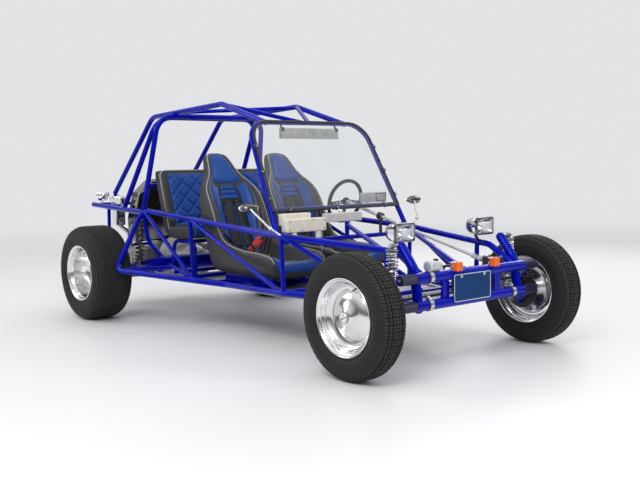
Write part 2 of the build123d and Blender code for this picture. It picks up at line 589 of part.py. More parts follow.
def seat(s):
    """A high-back bucket seat: side profile cut to its front outline, hollowed between the bolsters."""
    profile = [(490, SEAT_LOW), (502, 500), (430, 545), (200, 560), (20, 600), (-90, 700), (-190, 900), (-300, 1010),
               (-405, 1172), (-445, 1199), (-482, 1186), (-470, 1130), (-370, 850), (-250, 440), (-200, SEAT_LOW)]
    front = [(215, 480), (224, 620), (227, 780), (219, 890), (186, 968), (140, 1020), (113, 1075), (100, 1130),
             (80, 1172), (44, 1195), (0, 1200)]
    hollow = [(540, 600), (504, 480), (300, 462), (20, 468), (-90, 520), (-200, 760), (-300, 1000),
              (-120, 1010), (100, 700)]
    body = extrude(Plane.XZ * make_face(Polyline(*profile, profile[0])), 300, both=True)
    foot = [(196, SEAT_LOW), (-196, SEAT_LOW)]
    rim = Spline(front + [(-y, z) for y, z in reversed(front[:-1])])
    outline = [rim, Line(rim @ 1, foot[1]), Line(foot[1], foot[0]), Line(foot[0], rim @ 0)]
    body &= extrude(Plane.YZ * make_face(outline), 700, both=True)
    dish = extrude(Plane.XZ * make_face(Polyline(*hollow, hollow[0])), 222 - BOLSTER, both=True)
    return Pos(SEAT_X, SEAT_Y * s, 0) * largest(body - dish)


def seat_rails(s):
    """Two rails that carry a bucket seat on the crossmembers."""
    rails = [block(SEAT_X - 130, SEAT_X + 400, SEAT_Y * s + dy - 12, SEAT_Y * s + dy + 12, 340, SEAT_LOW - GAP)
             for dy in (-SEAT_RAIL_Y, SEAT_RAIL_Y)]
    return [cope(rail, *crossmembers) for rail in rails]


def rear_bench():
    """Bench cushion on its tube frame and a leaning back against the harness bar."""
    low = BENCH_FRAME_Z + BRACE_R + GAP
    cushion = [(425, low), (430, low + 90), (380, low + 108), (120, low + 95), (80, low)]
    back = [(145, low + 100), (25, 1075), (0, 1092), (-55, 1085), (-60, 1060), (50, low + 60),
            (85, low + 20), (140, low + 20)]
    shape = extrude(Plane.XZ * make_face(Polyline(*cushion, cushion[0])), BENCH_HALF, both=True)
    shape += extrude(Plane.XZ * make_face(Polyline(*back, back[0])), BENCH_HALF, both=True)
    return Pos(TORSION_X, 0, 0) * shape


dash_panel = cope(block(DOOR_POST_X - 40, DOOR_POST_X - 5, -190, 115, DASH_Z, DASH_Z + 56, 6), cowl)


def glove_box():
    """A box in two tiers on two legs from the cowl bar."""
    x0, y0, y1 = DOOR_POST_X - 50, -500, -196
    box = block(x0, x0 + 62, y0, y1, GLOVE_Z, GLOVE_Z + 80, 8)
    box += block(x0 - 30, x0 + 30, y0, y1 - 95, GLOVE_Z + 40, GLOVE_Z + 112, 8)
    for y in (y0 + 60, y1 - 60):
        box += block(DOOR_POST_X - 8, DOOR_POST_X + 6, y - 14, y + 14, COWL_Z, GLOVE_Z + 10)
    return cope(box, cowl, waist[-1], windshield_hoop)


def instrument_pod():
    """The instrument housing behind the pane, on two legs from the sill bar."""
    x, low = DOOR_POST_X - 172, 846
    pod = block(x - 36, x, 272, 492, low, low + 66, 8)
    for y in (310, 450):
        pod += straight((sill_at.X, y, sill_at.Z), (x - 16, y, low + 8), 6)
    return cope(pod, windshield_hoop)


pane_plane = Plane(origin=(HOOP_FOOT[0], 0, HOOP_FOOT[2]), x_dir=(0, 1, 0), z_dir=Vector(0, 1, 0).cross(hoop_rise))


def windshield():
    """A flat clear pane on the front of the hoop, its edge on the hoop's centre line."""
    high = hoop_rise.length
    low_half = HOOP_FOOT[1] + (HOOP_TOP[1] - HOOP_FOOT[1]) * PANE_LOW / high
    outline = make_face(Polyline((-low_half, PANE_LOW), (low_half, PANE_LOW), (HOOP_TOP[1], high),
                                 (-HOOP_TOP[1], high), (-low_half, PANE_LOW)))
    outline = fillet(outline.vertices().sort_by(Axis.Y)[-2:], HOOP_BEND)
    outline = fillet(outline.vertices().sort_by(Axis.Y)[:2], 12)
    return pane_plane * (Pos(0, 0, STRUT_R + GAP) * extrude(outline, PANE_T))


def pedals():
    """Three pedals hanging from a bar across the footwell on the left, with the bar's bracket."""
    floor = FLOOR_Z - BRACE_R
    bar = rod_y(100, 345, PEDAL_X, 480, 8)
    group = bar + block(PEDAL_X - 8, PEDAL_X + 8, 335, 343, floor, 480)
    for y in (135, 205, 275):
        group += straight((PEDAL_X, y, 480), (PEDAL_X - 55, y, 405), 6)
        group += block(PEDAL_X - 64, PEDAL_X - 52, y - 25, y + 25, 375, 435, 4)
    return group


def shifter():
    """Floor shifter: boot, lever and knob."""
    base = Pos(SHIFTER_X, 0, FLOOR_Z - BRACE_R) * Cone(60, 22, 80, align=CENTRE_MIN)
    return base + rod_z(FLOOR_Z + 50, 690, SHIFTER_X, 0, 7) + Pos(SHIFTER_X, 0, 700) * Sphere(24)


def headlamp(s):
    """A rectangular lamp with a domed back on a stem from the nose rail."""
    x, y, z = FRONT_AXLE_X - 59, 328 * s, 730
    shell = block(x, x + 45, y - 75, y + 75, z - 52, z + 52, 10)
    rings = [(x + 2, 142, 96), (x - 28, 122, 84), (x - 58, 66, 50)]
    bowl = loft([Plane(origin=(at, y, z), x_dir=(0, 1, 0), z_dir=(1, 0, 0)) * RectangleRounded(wide, tall, 22)
                 for at, wide, tall in rings])
    stem = straight((x - 32, y, z - 30), (x - 32, 366 * s, 628), 9)
    rail = straight(side(NOSE_CORNER, s), side(NOSE_SHOULDER, s), MAIN_R)
    return shell + bowl + cope(stem, rail)


def indicator(s):
    """A square front indicator on the beam."""
    return cope(block(BEAM_X + 7, BEAM_X + 55, 153 * s - 24, 153 * s + 24, BEAM_UPPER_Z + 17,
                      BEAM_UPPER_Z + 69, 4), front_beam)


def rear_lamp(s):
    """A round-backed rear lamp on a stem from the rear rail."""
    at = (TAIL_X + 70, 455 * s, 893)
    body = Pos(*at) * Sphere(46) + rod_x(at[0], at[0] - 40, at[1], at[2], 46)
    return cope(body + straight((at[0], at[1], at[2] - 30), (at[0], 505 * s, 815), 8), rear_cage)


def side_mirror(s):
    """An oval mirror head on a stalk from the pillar's foot."""
    centre = (DOOR_POST_X - 106, 690 * s, 854)
    head = Plane(origin=centre, x_dir=(0, 1, 0), z_dir=(1, 0, 0.1)) * extrude(Ellipse(68, 28), 11, both=True)
    stalk = bent([side(PILLAR_FOOT, s), side((DOOR_POST_X - 8, 622, 740), s), centre], 6, [40])
    return cope(head + stalk, waist[s], windshield_hoop, braces[s][1], braces[s][5])


def panorama_mirror():
    """The wide mirror inside the top of the windshield, hung from the top bar."""
    x = HOOP_TOP[0] + 12
    bow = block(x, x + 16, -246, 246, HOOP_TOP[2] - 104, HOOP_TOP[2] - 36, 6)
    for y in (-190, 190):
        bow += straight((x + 8, y, HOOP_TOP[2] - 42), (HOOP_TOP[0], y, HOOP_TOP[2] - 6), 6)
    return cope(bow, windshield_hoop)


plate_x = BEAM_X + BEAM_R + GAP
number_plate = block(plate_x, plate_x + PLATE_T, -179, 125, 355, 509)
number_plate = fillet(number_plate.edges().filter_by(Axis.X), 12)
reservoir = fillet(rod_y(-350, -255, BEAM_X, BEAM_UPPER_Z + BEAM_R + 27, 29).edges(), 5)
reservoir = cope(reservoir, front_beam)

NODES = {
    "bottom_rails": [bottom[1], bottom[-1]],
    "waist_rails": [waist[1], waist[-1]],
    "side_bars": [bars[1], bars[-1]],
    "side_braces": braces[1] + braces[-1],
    "rear_struts": [struts[1], struts[-1], outriggers[1], outriggers[-1]],
    "rear_cage": [rear_cage],
    "roll_hoops": [main_hoop, rear_hoop],
    "roof_rails": [roof[1], roof[-1]],
    "roof_braces": roof_braces,
    "windshield_frame": [windshield_hoop],
    "floor_crossmembers": crossmembers,
    "cowl_frame": [cowl],
    "nose_brace": [nose_brace],
    "bench_frame": [bench_frame],
    "front_beam": [front_beam],
    "torsion_housing": [torsion_tube],
    "front_arms": list(arms.values()),
    "front_shocks": front_shocks,
    "rear_arms": [rear_arms[1], rear_arms[-1]],
    "rear_shocks": rear_shocks,
    "half_shafts": [half_shaft(1), half_shaft(-1)],
    "steering_box": [steering_box],
    "pitman_arm": [pitman_arm],
    "steering_wheel": [steering],
    "column_bearing": [bearing],
    "transaxle": [gearbox],
    "engine_case": [case],
    "cylinder_banks": [banks[1], banks[-1]],
    "fan_shroud": [shroud],
    "generator": [generator],
    "carburettors": [carburettor(1), carburettor(-1)],
    "exhaust": [pipes],
    "floor_pan": [floor_pan()],
    "seat_rails": seat_rails(1) + seat_rails(-1),
    "rear_bench": [rear_bench()],
    "dash_panel": [dash_panel, instrument_pod()],
    "glove_box": [glove_box()],
    "windshield_pane": [windshield()],
    "pedals": [pedals()],
    "shifter": [shifter()],
    "headlamps": [headlamp(1), headlamp(-1)],
    "indicators": [indicator(1), indicator(-1)],
    "rear_lamps": [rear_lamp(1), rear_lamp(-1)],
    "mirrors": [side_mirror(1), side_mirror(-1), panorama_mirror()],
    "number_plate": [number_plate],
    "reservoir": [reservoir],
}
for end, s in (("left", 1), ("right", -1)):
    NODES[f"seat_{end}"] = [seat(s)]
    NODES[f"knuckle_{end}"] = [knuckle(s)]
    NODES[f"tie_rod_{end}"] = [tie_rod(s)]
    NODES[f"tyre_front_{end}"] = [tyre(FRONT_AXLE_X, FRONT_TYRE_Y, s, FRONT_TYRE_R, FRONT_TYRE_W,
                                        FRONT_SHOULDER)]
    NODES[f"tyre_rear_{end}"] = [tyre(REAR_AXLE_X, REAR_TYRE_Y, s, REAR_TYRE_R, REAR_TYRE_W, REAR_SHOULDER)]
    NODES[f"wheel_front_{end}"] = [wheel(FRONT_AXLE_X, FRONT_TYRE_Y, s, FRONT_TYRE_R, FRONT_RIM_W,
                                         58, FRONT_HUB_Y - FRONT_TYRE_Y)]
    NODES[f"wheel_rear_{end}"] = [wheel(REAR_AXLE_X, REAR_TYRE_Y, s, REAR_TYRE_R, REAR_RIM_W,
                                        150, REAR_HUB_Y - REAR_TYRE_Y)]

os.makedirs("parts", exist_ok=True)
for name, shapes in NODES.items():
    solids = [solid for shape in shapes for solid in shape.solids()]
    export_step(Compound(children=solids) if len(solids) > 1 else solids[0], f"parts/{name}.step")
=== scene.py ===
import bmesh
import bpy
import json
import math
from mathutils import Matrix, Vector


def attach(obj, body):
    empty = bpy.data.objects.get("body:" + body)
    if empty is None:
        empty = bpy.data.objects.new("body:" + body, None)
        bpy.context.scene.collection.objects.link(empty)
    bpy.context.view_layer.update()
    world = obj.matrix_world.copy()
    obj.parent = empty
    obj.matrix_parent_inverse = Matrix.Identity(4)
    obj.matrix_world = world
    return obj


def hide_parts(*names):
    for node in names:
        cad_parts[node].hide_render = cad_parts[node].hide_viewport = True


# %% [markdown]
# A dune buggy is a bare frame with its machinery on show, so nearly everything on it is a visible
# surface. The solid model already holds the tubes, axles and wheels at their real places.

# %% Load the frame
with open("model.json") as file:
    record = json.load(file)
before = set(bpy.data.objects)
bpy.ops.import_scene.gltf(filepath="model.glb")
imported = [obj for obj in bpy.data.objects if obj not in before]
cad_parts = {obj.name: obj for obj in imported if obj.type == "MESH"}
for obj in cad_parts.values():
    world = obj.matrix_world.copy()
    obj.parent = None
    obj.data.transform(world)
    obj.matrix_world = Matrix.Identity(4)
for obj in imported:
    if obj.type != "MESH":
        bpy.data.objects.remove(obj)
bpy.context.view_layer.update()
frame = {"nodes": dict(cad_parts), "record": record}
NODES = frame["nodes"]
FORWARD, BACKWARD, LEFT, UP = (1, 0, 0), (-1, 0, 0), (0, 1, 0), (0, 0, 1)

# %% [markdown]
# The photograph was taken from ahead of the right front wheel, a little above knee height. A camera
# is a place, three angles and a focal length; these were solved from the rails and wheel circles. It
# comes first, so that every later piece can be judged from the photograph's own viewpoint.

# %% Camera
CAMERA_AT = Vector((4.8146, -3.6606, 1.0794))
CAMERA_YAW = 2.4495
CAMERA_PITCH = -0.0814
CAMERA_ROLL = -0.0174
FOCAL_PIXELS = 878.68
FRAME_WIDTH = 640
SENSOR = 36


def linked(name, data):
    """A new object of some data, linked into the scene."""
    made = bpy.data.objects.new(name, data)
    bpy.context.scene.collection.objects.link(made)
    return made


def add_camera():
    """A camera looking along yaw and pitch, then rolled about its own line of sight."""
    look = Vector((math.cos(CAMERA_PITCH) * math.cos(CAMERA_YAW),
                   math.cos(CAMERA_PITCH) * math.sin(CAMERA_YAW), math.sin(CAMERA_PITCH)))
    right = look.cross(Vector(UP)).normalized()
    up = right.cross(look)
    turned_right = right * math.cos(CAMERA_ROLL) + up * math.sin(CAMERA_ROLL)
    turned_up = up * math.cos(CAMERA_ROLL) - right * math.sin(CAMERA_ROLL)
    data = bpy.data.cameras.new("photo_camera")
    data.sensor_width = SENSOR
    data.lens = FOCAL_PIXELS * SENSOR / FRAME_WIDTH
    camera = linked("photo_camera", data)
    axes = Matrix((turned_right, turned_up, -look)).transposed()
    camera.matrix_world = Matrix.Translation(CAMERA_AT) @ axes.to_4x4()
    bpy.context.scene.camera = camera
    print("lens", round(data.lens, 2), "mm")


add_camera()

# %% [markdown]
# A studio is mostly what it reflects. Polished metal and deep gloss paint show nothing of their own,
# only their surroundings, so the room needs broad pale panels with darker gaps between them. Soft
# area lamps give the panels; the floor and the world stay pale, and no lamp is bright enough to wash
# a colour out.

# %% Floor, lamps and world
FLOOR_COLOUR = (0.80, 0.80, 0.81)
WORLD_COLOUR = (0.80, 0.81, 0.83)
WORLD_STRENGTH = 0.95
FLOOR_REACH = 40
FADE_FROM, FADE_TO = 4.5, 13.0
LAMPS = [
    # name, place, aims at, width, height, watts
    ("key_panel", (3.4, -4.6, 4.6), (0.2, 0.0, 0.5), 3.2, 1.6, 150),
    ("fill_panel", (-3.8, -4.2, 3.0), (-0.4, 0.0, 0.6), 2.6, 1.6, 60),
    ("back_panel", (-1.5, 5.2, 3.8), (0.0, 0.0, 0.6), 4.5, 1.6, 90),
    ("nose_strip", (6.2, 1.5, 2.4), (1.2, 0.0, 0.4), 0.7, 2.6, 45),
]


def node(tree, kind, **values):
    """A node of a tree, with its named input sockets set."""
    made = tree.nodes.new(kind)
    for name, value in values.items():
        made.inputs[name.replace("_", " ")].default_value = value
    return made


def pale_world():
    """Even and pale where it is looked at; for lighting, bright overhead and falling off to the sides."""
    world = bpy.data.worlds.new("studio")
    bpy.context.scene.world = world
    world.use_nodes = True
    tree = world.node_tree
    tree.nodes.clear()
    path = node(tree, "ShaderNodeLightPath")
    seen = tree.nodes.new("ShaderNodeMath")
    seen.operation = "MAXIMUM"
    tree.links.new(path.outputs["Is Camera Ray"], seen.inputs[0])
    tree.links.new(path.outputs["Is Transmission Ray"], seen.inputs[1])
    place = node(tree, "ShaderNodeTexCoord")
    height = tree.nodes.new("ShaderNodeSeparateXYZ")
    tree.links.new(place.outputs["Generated"], height.inputs[0])
    fall = tree.nodes.new("ShaderNodeValToRGB")
    for position, tone in ((0.0, 0.10), (0.12, 0.16), (0.30, 0.55), (0.55, 0.95), (1.0, 1.0)):
        stop = fall.color_ramp.elements[0] if position == 0.0 else fall.color_ramp.elements.new(position)
        stop.position, stop.color = position, (tone, tone, tone * 1.02, 1)
    fall.color_ramp.elements.remove(fall.color_ramp.elements[-1])
    tree.links.new(height.outputs["Z"], fall.inputs["Fac"])
    lit = node(tree, "ShaderNodeBackground", Strength=WORLD_STRENGTH)
    tree.links.new(fall.outputs["Color"], lit.inputs["Color"])
    shown = node(tree, "ShaderNodeBackground", Color=(*WORLD_COLOUR, 1), Strength=WORLD_STRENGTH)
    mix = tree.nodes.new("ShaderNodeMixShader")
    out = tree.nodes.new("ShaderNodeOutputWorld")
    tree.links.new(seen.outputs[0], mix.inputs[0])
    tree.links.new(lit.outputs[0], mix.inputs[1])
    tree.links.new(shown.outputs[0], mix.inputs[2])
    tree.links.new(mix.outputs[0], out.inputs["Surface"])


def add_lamp(name, place, aim, width, height, watts):
    """A soft rectangular lamp at a place, turned to shine on its aim."""
    data = bpy.data.lights.new(name, "AREA")
    data.shape = "RECTANGLE"
    data.size, data.size_y, data.energy = width, height, watts
    lamp = linked(name, data)
    lamp.location = place
    lamp.rotation_mode = "QUATERNION"
    lamp.rotation_quaternion = (Vector(aim) - Vector(place)).to_track_quat("-Z", "Y")


def add_floor():
    """A wide pale floor with a faint sheen that fades into the backdrop far out."""
    mesh = bpy.data.meshes.new("studio_floor")
    mesh.from_pydata([(x * FLOOR_REACH, y * FLOOR_REACH, 0) for x, y in ((-1, -1), (1, -1), (1, 1), (-1, 1))], [],
                     [(0, 1, 2, 3)])
    material = bpy.data.materials.new("floor_pale")
    material.use_nodes = True
    shader = material.node_tree.nodes["Principled BSDF"]
    shader.inputs["Base Color"].default_value = (*FLOOR_COLOUR, 1)
    shader.inputs["Roughness"].default_value = 0.45
    tree = material.node_tree
    place = node(tree, "ShaderNodeTexCoord")
    away = tree.nodes.new("ShaderNodeVectorMath")
    away.operation = "LENGTH"
    tree.links.new(place.outputs["Object"], away.inputs[0])
    fade = node(tree, "ShaderNodeMapRange", From_Min=FADE_FROM, From_Max=FADE_TO)
    fade.interpolation_type = "SMOOTHSTEP"
    tree.links.new(away.outputs["Value"], fade.inputs["Value"])
    far = node(tree, "ShaderNodeEmission", Color=(*WORLD_COLOUR, 1), Strength=WORLD_STRENGTH)
    mix = tree.nodes.new("ShaderNodeMixShader")
    tree.links.new(fade.outputs["Result"], mix.inputs[0])
    tree.links.new(shader.outputs[0], mix.inputs[1])
    tree.links.new(far.outputs[0], mix.inputs[2])
    tree.links.new(mix.outputs[0], tree.nodes["Material Output"].inputs["Surface"])
    mesh.materials.append(material)
    linked("studio_floor", mesh)


bpy.context.scene.view_settings.view_transform = "Standard"
pale_world()
for lamp in LAMPS:
    add_lamp(*lamp)
add_floor()
print("lamps", len(LAMPS))

# %% [markdown]
# Every finish is built the same way: a surface colour that drifts a little between two tones, a
# roughness that drifts with it, and a fine bump. One helper makes that base from noise on Object
# coordinates, which stay put on each piece, and the finishes that need more add their own nodes.

# %% Base of every finish
FINISHES = {}


def surface(name, dark, light, metallic=0.0, rough=(0.3, 0.4), grain=40.0, bump=0.1, depth=0.0005, **sockets):
    """A material whose colour and roughness drift with noise, with a fine bump; sockets are set directly."""
    material = bpy.data.materials.new(name)
    material.use_nodes = True
    tree = material.node_tree
    shader = tree.nodes["Principled BSDF"]
    shader.inputs["Metallic"].default_value = metallic
    for socket, value in sockets.items():
        shader.inputs[socket.replace("_", " ")].default_value = value
    place = node(tree, "ShaderNodeTexCoord")
    noise = node(tree, "ShaderNodeTexNoise", Scale=grain, Detail=4.0)
    tree.links.new(place.outputs["Object"], noise.inputs["Vector"])
    tones = tree.nodes.new("ShaderNodeValToRGB")
    tones.color_ramp.elements[0].position, tones.color_ramp.elements[0].color = 0.3, (*dark, 1)
    tones.color_ramp.elements[1].position, tones.color_ramp.elements[1].color = 0.7, (*light, 1)
    tree.links.new(noise.outputs["Fac"], tones.inputs["Fac"])
    tree.links.new(tones.outputs["Color"], shader.inputs["Base Color"])
    spread = node(tree, "ShaderNodeMapRange", To_Min=rough[0], To_Max=rough[1])
    tree.links.new(noise.outputs["Fac"], spread.inputs["Value"])
    tree.links.new(spread.outputs["Result"], shader.inputs["Roughness"])
    lift = node(tree, "ShaderNodeBump", Strength=bump, Distance=depth)
    tree.links.new(noise.outputs["Fac"], lift.inputs["Height"])
    tree.links.new(lift.outputs["Normal"], shader.inputs["Normal"])
    FINISHES[name] = material


surface("frame_paint", (0.0004, 0.0025, 0.26), (0.0010, 0.0060, 0.41), 0.0, (0.16, 0.24), 9.0, 0.03, 0.002,
        Specular_IOR_Level=0.55, Specular_Tint=(0.06, 0.12, 1.0, 1.0), Coat_Weight=0.06, Coat_Roughness=0.04)
surface("spring_chrome", (0.72, 0.72, 0.74), (0.82, 0.82, 0.84), 1.0, (0.06, 0.14), 60.0, 0.03)
surface("black_steel", (0.012, 0.012, 0.013), (0.03, 0.03, 0.032), 0.2, (0.32, 0.5), 90.0, 0.15)
surface("steering_trim", (0.010, 0.010, 0.011), (0.02, 0.02, 0.021), 0.0, (0.35, 0.5), 300.0, 0.3)
surface("cast_alloy", (0.30, 0.30, 0.30), (0.48, 0.47, 0.46), 0.9, (0.42, 0.6), 220.0, 0.5)
surface("chrome", (0.78, 0.78, 0.80), (0.86, 0.86, 0.88), 1.0, (0.03, 0.08), 30.0, 0.02)
surface("exhaust_steel", (0.10, 0.07, 0.05), (0.30, 0.25, 0.21), 0.9, (0.35, 0.55), 25.0, 0.2)
surface("floor_plate", (0.42, 0.42, 0.43), (0.60, 0.60, 0.61), 0.9, (0.28, 0.42), 50.0, 0.2)
surface("rubber_trim", (0.010, 0.010, 0.010), (0.018, 0.018, 0.018), 0.0, (0.45, 0.6), 200.0, 0.2)
surface("spring_black", (0.010, 0.010, 0.011), (0.018, 0.018, 0.019), 0.1, (0.22, 0.34), 80.0, 0.08)
surface("damper_grey", (0.20, 0.20, 0.21), (0.30, 0.30, 0.31), 0.8, (0.28, 0.42), 60.0, 0.08)
surface("bright_steel", (0.55, 0.55, 0.56), (0.66, 0.66, 0.67), 1.0, (0.16, 0.28), 90.0, 0.08)
surface("dash_black", (0.012, 0.012, 0.012), (0.024, 0.024, 0.025), 0.0, (0.45, 0.6), 400.0, 0.4)
surface("panel_paint", (0.55, 0.53, 0.51), (0.63, 0.61, 0.59), 0.0, (0.35, 0.5), 30.0, 0.08)
surface("cream_vinyl", (0.72, 0.67, 0.56), (0.82, 0.77, 0.66), 0.0, (0.38, 0.5), 20.0, 0.1)
surface("seat_vinyl", (0.004, 0.048, 0.25), (0.007, 0.070, 0.34), 0.0, (0.36, 0.48), 350.0, 0.35,
        Specular_IOR_Level=0.32)
surface("clear_pane", (0.92, 0.95, 0.95), (0.96, 0.98, 0.98), 0.0, (0.0, 0.02), 5.0, 0.0, Transmission_Weight=1.0,
        IOR=1.45)
surface("amber_lens", (0.75, 0.10, 0.005), (0.95, 0.17, 0.01), 0.0, (0.1, 0.18), 120.0, 0.2)
surface("plate_paint", (0.001, 0.032, 0.13), (0.002, 0.042, 0.17), 0.0, (0.22, 0.30), 12.0, 0.03,
        Specular_IOR_Level=0.15)
surface("tyre_rubber", (0.006, 0.006, 0.006), (0.013, 0.0125, 0.012), 0.0, (0.55, 0.72), 60.0, 0.25,
        Specular_IOR_Level=0.35)
surface("seat_charcoal", (0.024, 0.024, 0.023), (0.040, 0.039, 0.036), 0.0, (0.42, 0.55), 320.0, 0.35)
surface("webbing", (0.007, 0.007, 0.008), (0.015, 0.015, 0.016), 0.0, (0.6, 0.75), 600.0, 0.6)
# Light grey for the piping: a painted highlight along the rims where it catches the light.
surface("piping_painted_highlight", (0.30, 0.31, 0.33), (0.40, 0.41, 0.43), 0.0, (0.35, 0.5), 200.0, 0.15)
# Chrome with its colour darkened: a painted dark reflection, used on the mirror dishes, headlamp rims and fan shroud.
surface("chrome_painted_dark", (0.16, 0.16, 0.17), (0.24, 0.24, 0.25), 1.0, (0.08, 0.16), 40.0, 0.03)
surface("mirror_glass", (0.62, 0.63, 0.64), (0.68, 0.69, 0.70), 1.0, (0.01, 0.03), 8.0, 0.0)
surface("lamp_glass", (0.92, 0.94, 0.95), (0.97, 0.98, 0.98), 0.0, (0.02, 0.05), 60.0, 0.15, 0.001,
        Transmission_Weight=1.0, IOR=1.35)
surface("bulb_glow", (0.85, 0.86, 0.86), (0.95, 0.95, 0.95), 0.0, (0.1, 0.2), 60.0, 0.05)
surface("pale_enamel", (0.55, 0.62, 0.70), (0.66, 0.72, 0.78), 0.0, (0.2, 0.3), 60.0, 0.05)
surface("buckle_red", (0.50, 0.010, 0.008), (0.65, 0.018, 0.012), 0.0, (0.22, 0.34), 80.0, 0.08)
surface("brass", (0.60, 0.42, 0.14), (0.72, 0.52, 0.20), 1.0, (0.2, 0.35), 90.0, 0.1)
surface("bakelite", (0.010, 0.0085, 0.008), (0.018, 0.014, 0.012), 0.0, (0.18, 0.3), 60.0, 0.08)
surface("lead_red", (0.30, 0.012, 0.010), (0.40, 0.020, 0.016), 0.0, (0.35, 0.5), 120.0, 0.1)
surface("filter_cloth", (0.50, 0.44, 0.32), (0.64, 0.58, 0.45), 0.0, (0.7, 0.85), 500.0, 0.5)
surface("red_lens", (0.50, 0.004, 0.004), (0.68, 0.010, 0.008), 0.0, (0.06, 0.14), 120.0, 0.2)
surface("silver_paint", (0.50, 0.51, 0.53), (0.60, 0.61, 0.63), 0.35, (0.30, 0.42), 40.0, 0.08)
surface("mirror_back", (0.50, 0.50, 0.46), (0.60, 0.59, 0.55), 0.1, (0.25, 0.38), 30.0, 0.05)
surface("insert_charcoal", (0.042, 0.042, 0.041), (0.062, 0.060, 0.056), 0.0, (0.45, 0.6), 320.0, 0.4)
surface("tread_rubber", (0.020, 0.020, 0.019), (0.036, 0.035, 0.033), 0.0, (0.6, 0.78), 60.0, 0.3,
        Specular_IOR_Level=0.3)
surface("stub_navy", (0.006, 0.006, 0.035), (0.011, 0.010, 0.055), 0.0, (0.35, 0.5), 60.0, 0.1)
surface("polished_alloy", (0.70, 0.70, 0.71), (0.82, 0.82, 0.83), 1.0, (0.10, 0.20), 18.0, 0.03)


# The fan shroud gets the darkened chrome, a painted dark reflection.
OTHER_FINISH = {"fan_shroud": "chrome_painted_dark"}


def dress_nodes():
    """Gives each node of the frame the finish that the record names for it, or the one chosen above."""
    for row in frame["record"]["subparts"]:
        cad = NODES[row["node"]]
        cad.data.materials.clear()
        cad.data.materials.append(FINISHES[OTHER_FINISH.get(row["node"], row["material_slot"])])


dress_nodes()
print("finishes", len(FINISHES))

# %% [markdown]
# Almost every round piece on a buggy is either turned on a lathe or bent from bar, so two small
# helpers cover most of it: one turns a profile about an axis and one sweeps a round section along a
# line. Each piece is closed, faces outward, and shades smooth except over its real edges.

# %% Turning, sweeping and making a piece
SMOOTH_BELOW = math.radians(38)


def ring_faces(rings, steps, closed=False):
    """Faces between neighbouring rings of vertex numbers; a ring of one number is a pole."""
    faces = []
    for low, high in list(zip(rings, rings[1:])) + ([(rings[-1], rings[0])] if closed else []):
        for i in range(steps):
            j = (i + 1) % steps
            corners = [low[i % len(low)], low[j % len(low)], high[j % len(high)], high[i % len(high)]]
            face = list(dict.fromkeys(corners))
            if len(face) > 2:
                faces.append(face)
    return faces


def lathe(profile, at, axis, steps=24, closed=False):
    """Vertices and faces of a profile of (radius, distance) turned about an axis."""
    along = Vector(axis).normalized()
    across = along.orthogonal().normalized()
    third = along.cross(across)
    verts, rings = [], []
    for radius, distance in profile:
        centre = Vector(at) + along * distance
        start = len(verts)
        if radius < 1e-6:
            verts.append(centre)
            rings.append([start])
            continue
        for i in range(steps):
            angle = 2 * math.pi * i / steps
            verts.append(centre + (across * math.cos(angle) + third * math.sin(angle)) * radius)
        rings.append(list(range(start, start + steps)))
    return verts, ring_faces(rings, steps, closed)


def rod(radius, start, end, at, axis, steps=24):
    """A plain round bar between two distances along an axis."""
    return lathe([(0, start), (radius, start), (radius, end), (0, end)], at, axis, steps)


def band(inner, outer, start, end, at, axis, steps):
    """A flat ring between two radii and two distances along an axis."""
    return lathe([(inner, start), (outer, start), (outer, end), (inner, end)], at, axis, steps, closed=True)


def lofted(rings, looped=False):
    """Rings with equal numbers of points joined up, with a cap at each end or looped back on themselves."""
    count, last = len(rings[0]), len(rings)
    verts = [p for ring in rings for p in ring]
    faces = []
    for r in range(last if looped else last - 1):
        low, high = r * count, (r + 1) % last * count
        faces += [[low + i, low + (i + 1) % count, high + (i + 1) % count, high + i] for i in range(count)]
    if not looped:
        faces += [list(range(count))[::-1], list(range((last - 1) * count, last * count))]
    return verts, faces


def tube(points, radius, sides=12, looped=False):
    """Vertices and faces of a round bar along points, its ends capped unless it is looped."""
    points = [Vector(p) for p in points]
    count = len(points)
    rings, normal = [], None
    for i, point in enumerate(points):
        before = points[i - 1] if i or looped else point
        after = points[(i + 1) % count] if i < count - 1 or looped else point
        heading = (after - before).normalized()
        normal = heading.orthogonal() if normal is None else normal - heading * normal.dot(heading)
        normal.normalize()
        third = heading.cross(normal)
        angles = [2 * math.pi * k / sides for k in range(sides)]
        rings.append([point + (normal * math.cos(a) + third * math.sin(a)) * radius for a in angles])
    return lofted(rings, looped)


def curve_through(points, steps=8):
    """Points of a smooth line through the given points."""
    points = [Vector(p) for p in points]
    ends = [points[0] * 2 - points[1]] + points + [points[-1] * 2 - points[-2]]
    line = []
    for a, b, c, d in zip(ends, ends[1:], ends[2:], ends[3:]):
        for i in range(steps):
            t = i / steps
            line.append(0.5 * (2 * b + (c - a) * t + (2 * a - 5 * b + 4 * c - d) * t ** 2
                               + (3 * b - a - 3 * c + d) * t ** 3))
    return line + [points[-1]]


def joined(*parts):
    """Several (vertices, faces) pairs as one."""
    verts, faces = [], []
    for part_verts, part_faces in parts:
        faces += [[i + len(verts) for i in face] for face in part_faces]
        verts += list(part_verts)
    return verts, faces


def outward(name, shape):
    """A mesh of a shape's vertices and faces, its normals turned outward."""
    mesh = bpy.data.meshes.new(name)
    mesh.from_pydata([tuple(v) for v in shape[0]], [], shape[1])
    cast = bmesh.new()
    cast.from_mesh(mesh)
    bmesh.ops.recalc_face_normals(cast, faces=cast.faces)
    cast.to_mesh(mesh)
    cast.free()
    return mesh


def piece(name, shape, finish, body="chassis", stands_for=(), sharp=SMOOTH_BELOW):
    """A closed mesh piece with one finish that rides on a body, with its normals outward."""
    return from_mesh(name, outward(name, shape), finish, body, stands_for, sharp)


